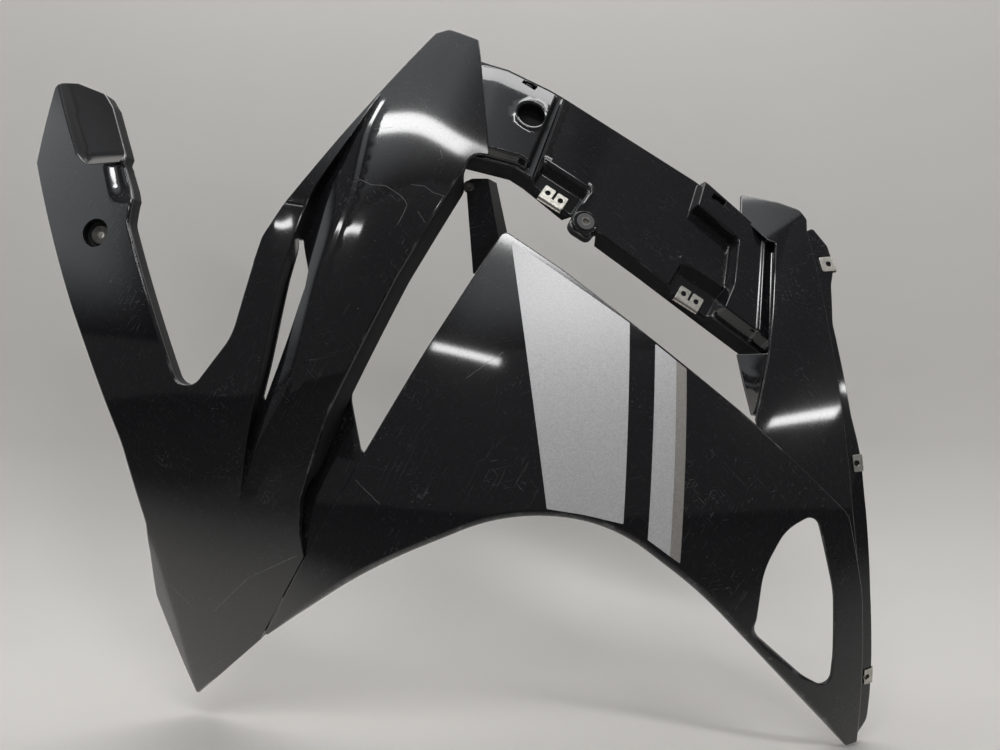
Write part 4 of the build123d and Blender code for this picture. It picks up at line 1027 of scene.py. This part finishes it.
def clip_shells(holes, half, foot, leaf, front, tongue):
    """A folded clip nut's shells, drawn across, up and depth with its holes at up 0."""
    back = front + tongue + 2 * CLIP_GAP + 2 * CLIP_SHEET
    low, high = foot + (back - front) / 2, foot + leaf
    square = [(-half, low, 0), (half, low, 0), (half, high, 1.5)]
    slot = LOBE_SLOT / 2
    lobes = [(slot, high, 1.2), (slot, SLOT_FOOT, 0.6), (-slot, SLOT_FOOT, 0.6), (-slot, high, 1.2)]
    last = [(-half, high, 1.5)]
    lobed = square + (lobes if len(holes) > 1 else []) + last
    rounds = [disc((across, 0), HOLE_RADIUS, 20) for across in holes]
    shells = [bend_shell(half, foot, front, back)]
    for rows, depth in ((lobed, front), (square + last, back - CLIP_SHEET)):
        shells.append(moulding(
            [outline(rows, 1.5)] + rounds, everywhere(depth), everywhere(CLIP_SHEET + 0.02), everywhere(0.25),
            step=2.0, wall=CLIP_SHEET,
        ))
    for across in holes:
        shells.append(moulding(
            [disc((across, 0), BARREL_RADIUS)[::-1], disc((across, 0), THREAD_RADIUS)],
            everywhere(back - 0.1), everywhere(BARREL_LENGTH + 0.1), everywhere(0.2), step=2.0, wall=0.8,
            back=everywhere(back + BARREL_LENGTH),
        ))
    return shells


def clip_piece(name, node, shells, place):
    """One clip nut in its place."""
    clip = join_shells(name, shells, place)
    clip.data.materials.append(zinc)
    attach(clip, "root")
    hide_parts(node)


def on_seat(origin, axes):
    """A way to place rows of across, up and depth at a seat."""
    return lambda rows: (origin + rows @ axes) / 1000


zinc = plated("zinc_plated_steel", (0.66, 0.64, 0.58), 0.24)
dark_zinc = plated("dull_plated_steel", (0.2, 0.195, 0.18), 0.34)
rubber = dull_rubber("grommet_rubber")
for name, (middle, holes) in zip(("upper", "lower"), CLIP_PLACES):
    shells = clip_shells(
        [-PAIR_PITCH / 2, PAIR_PITCH / 2], PAIR_PITCH / 2 + PAIR_LOBE / 2, PAIR_FOOT, PAIR_LEAF,
        CLIP_POCKET_DEPTH - CLIP_GAP - CLIP_SHEET, WALL,
    )
    place = on_seat(middle * INNER_U + holes * INNER_V, np.array((INNER_U, INNER_V, -INNER_W)))
    clip_piece("clip_nut_" + name, "clip_nut_pair_" + name, shells, place)
for name, (height, leaf) in EDGE_CLIPS.items():
    across = reading(LIP_EDGE, height, 1, 0) - EDGE_INSET
    lean = reading(LIP_EDGE, height + 1, 1, 0) - EDGE_INSET - across
    seat = np.array([[across, height]], float)
    normal = tilt(side_skin, seat)[0][[0, 2, 1]]
    outward = np.array((1, 0, -lean))
    outward = outward - normal * (outward @ normal)
    outward /= np.linalg.norm(outward)
    axes = np.array((np.cross(outward, -normal), -outward, -normal))
    tongue = WALL * -normal[1]
    foot = -(EDGE_INSET / outward[0] + WALL * abs(outward[1]) + CLIP_GAP + CLIP_SHEET)
    origin = np.array((across, side_skin(across, height) + LIP_BACK, height))
    shells = clip_shells([0.0], EDGE_WIDTH / 2, foot, leaf, -CLIP_GAP - CLIP_SHEET, tongue)
    clip_piece("edge_clip_" + name, "edge_clip_nut_" + name, shells, on_seat(origin, axes))

# Grommet, bushes, stay and screws
# These are seen as the CAD made them: rubber grommet, plated collar, the arm's bush, the stay and the screws.
# They only get their materials, rubber, black plastic and dull plating.
stay_black = scratched_gloss("stay_black_plastic", 0.2, 0.3, 0.3, gloss=0.25)
for name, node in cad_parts.items():
    if node.hide_render:
        continue
    node.data.materials.clear()
    node.data.materials.append({"grommet": rubber, "centre_stay": stay_black}.get(name, dark_zinc))

# Floor, lamps and camera
# A plain pale floor that curves up into a backdrop and can be seen through from behind, strip lamps and an
# overhead one, two soft cards that only show in reflections, and a camera at the photo's place.
FLOOR, BACKDROP, COVE = -0.4815, 0.36, 0.25
FLOOR_SIZE, FLOOR_FRONT, FLOOR_MIDDLE = 6.0, 3.2, 0.08
bpy.ops.mesh.primitive_grid_add(x_subdivisions=2, y_subdivisions=60, size=1, location=(0, 0, 0))
floor = bpy.context.object
floor.name = "floor"
for vertex in floor.data.vertices:
    run = (vertex.co.y + 0.5) * FLOOR_SIZE - FLOOR_FRONT
    flat_end = BACKDROP - COVE
    bend = COVE * math.pi / 2
    if run < flat_end:
        place = (run, 0.0)
    elif run < flat_end + bend:
        angle = (run - flat_end) / COVE
        place = (flat_end + COVE * math.sin(angle), COVE * (1 - math.cos(angle)))
    else:
        place = (BACKDROP, COVE + run - flat_end - bend)
    vertex.co = (vertex.co.x * FLOOR_SIZE - FLOOR_MIDDLE, place[0], FLOOR + place[1])
bpy.ops.object.shade_smooth()
pale, shader, paint = new_material("pale_backdrop")
where = paint.place()
# For glossy rays the floor is painted dark, and in front of the fairing, weaker to its right, it glows white:
# a painted reflection, which only the fairing's gloss shows.
glossy = paint.node("ShaderNodeLightPath", output=3)
cloth = paint.noise(where, 3.0, 2.0).blend((0.56, 0.545, 0.52, 1), (0.6, 0.585, 0.56, 1))
aside = paint.part(where, 0).between(-0.25, 0.0)
near = paint.part(where, 1).between(-0.5, -0.05) * (1 - aside * 0.6)
connect(
    shader, Base_Color=glossy.blend(cloth, (0.05, 0.05, 0.052, 1)),
    Emission_Color=(glossy * near).blend((0, 0, 0, 1), (1, 0.97, 0.93, 1)),
)
shader.inputs["Emission Strength"].default_value = 1.0
shader.inputs["Roughness"].default_value = 0.6
behind = paint.node("ShaderNodeNewGeometry", output=6)
clear = paint.node("ShaderNodeBsdfTransparent")
face = Paint(paint.tree, shader.outputs["BSDF"])
seen = paint.node("ShaderNodeMixShader", {}, {0: behind, 1: face, 2: clear})
connect(paint.tree.nodes["Material Output"], Surface=seen)
floor.data.materials.append(pale)


def strip(name, start, end, thick, power):
    """A long lamp from one point to another that looks at the fairing."""
    start, end = Vector(start), Vector(end)
    middle = (start + end) / 2
    along_it = (end - start).normalized()
    away = middle - Vector((-0.1, 0, -0.1))
    away = (away - along_it * away.dot(along_it)).normalized()
    bpy.ops.object.light_add(type="AREA", location=middle)
    light = bpy.context.object
    light.name = name
    light.data.shape = "RECTANGLE"
    light.data.size, light.data.size_y = (end - start).length, thick
    light.data.energy = power
    light.rotation_euler = Matrix((along_it, away.cross(along_it), away)).transposed().to_euler()


strip("shield_strip", (-0.84, -1.30, 2.0), (1.04, -2.06, 2.0), 0.2, 27)
strip("wing_strip", (-0.838, -1.06, 0.731), (-0.45, -1.256, 0.668), 0.05, 1.5)
strip("side_strip", (0.985, -1.063, 0.315), (1.30, -0.857, 0.174), 0.045, 1.3)
bpy.ops.object.light_add(type="AREA", location=(-0.1, 0.1, 1.5), rotation=(-0.15, 0, 0))
overhead = bpy.context.object
overhead.name = "overhead"
overhead.data.shape = "RECTANGLE"
overhead.data.size, overhead.data.size_y = 2.2, 0.5
overhead.data.energy = 20

soft, shader, paint = new_material("soft_card")
where = paint.place()
across, up = (paint.sum("ABSOLUTE", paint.part(where, axis)) for axis in (0, 1))
feather = (1 - across.between(0.2, 0.5)) * (1 - up.between(0.15, 0.5))
connect(shader, Emission_Color=feather.blend((0, 0, 0, 1), (0.94, 0.97, 1, 1)))
shader.inputs["Base Color"].default_value = (0, 0, 0, 1)
shader.inputs["Emission Strength"].default_value = 1.0
CARDS = [
    ("soft_card", (-0.3, -1.6, 3.2), (0.35, 0, 0), (4.2, 4.2)),
    ("left_card", (-2.6, -0.6, 1.2), (0, 1.3, 0), (2.3, 2.8)),
]
for name, place, turn, size in CARDS:
    bpy.ops.mesh.primitive_plane_add(size=1, location=place, rotation=turn)
    card = bpy.context.object
    card.name = name
    card.scale = (*size, 1)
    card.visible_camera = False
    card.data.materials.append(soft)
world = bpy.data.worlds.new("studio")
bpy.context.scene.world = world
world.use_nodes = True
sky = world.node_tree.nodes["Background"]
seen = Paint(world.node_tree).node("ShaderNodeLightPath")
connect(sky, Color=seen.blend((0.15, 0.15, 0.156, 1), (0.5, 0.49, 0.47, 1)))
sky.inputs["Strength"].default_value = 1.0

bpy.ops.object.camera_add(location=(-0.0787, -0.6993, -0.1411), rotation=(math.pi / 2, 0, 0))
camera = bpy.context.object
camera.data.sensor_width = 36
camera.data.lens = 27
camera.data.clip_start = 0.01
bpy.context.scene.camera = camera
bpy.context.scene.view_settings.view_transform = "Standard"
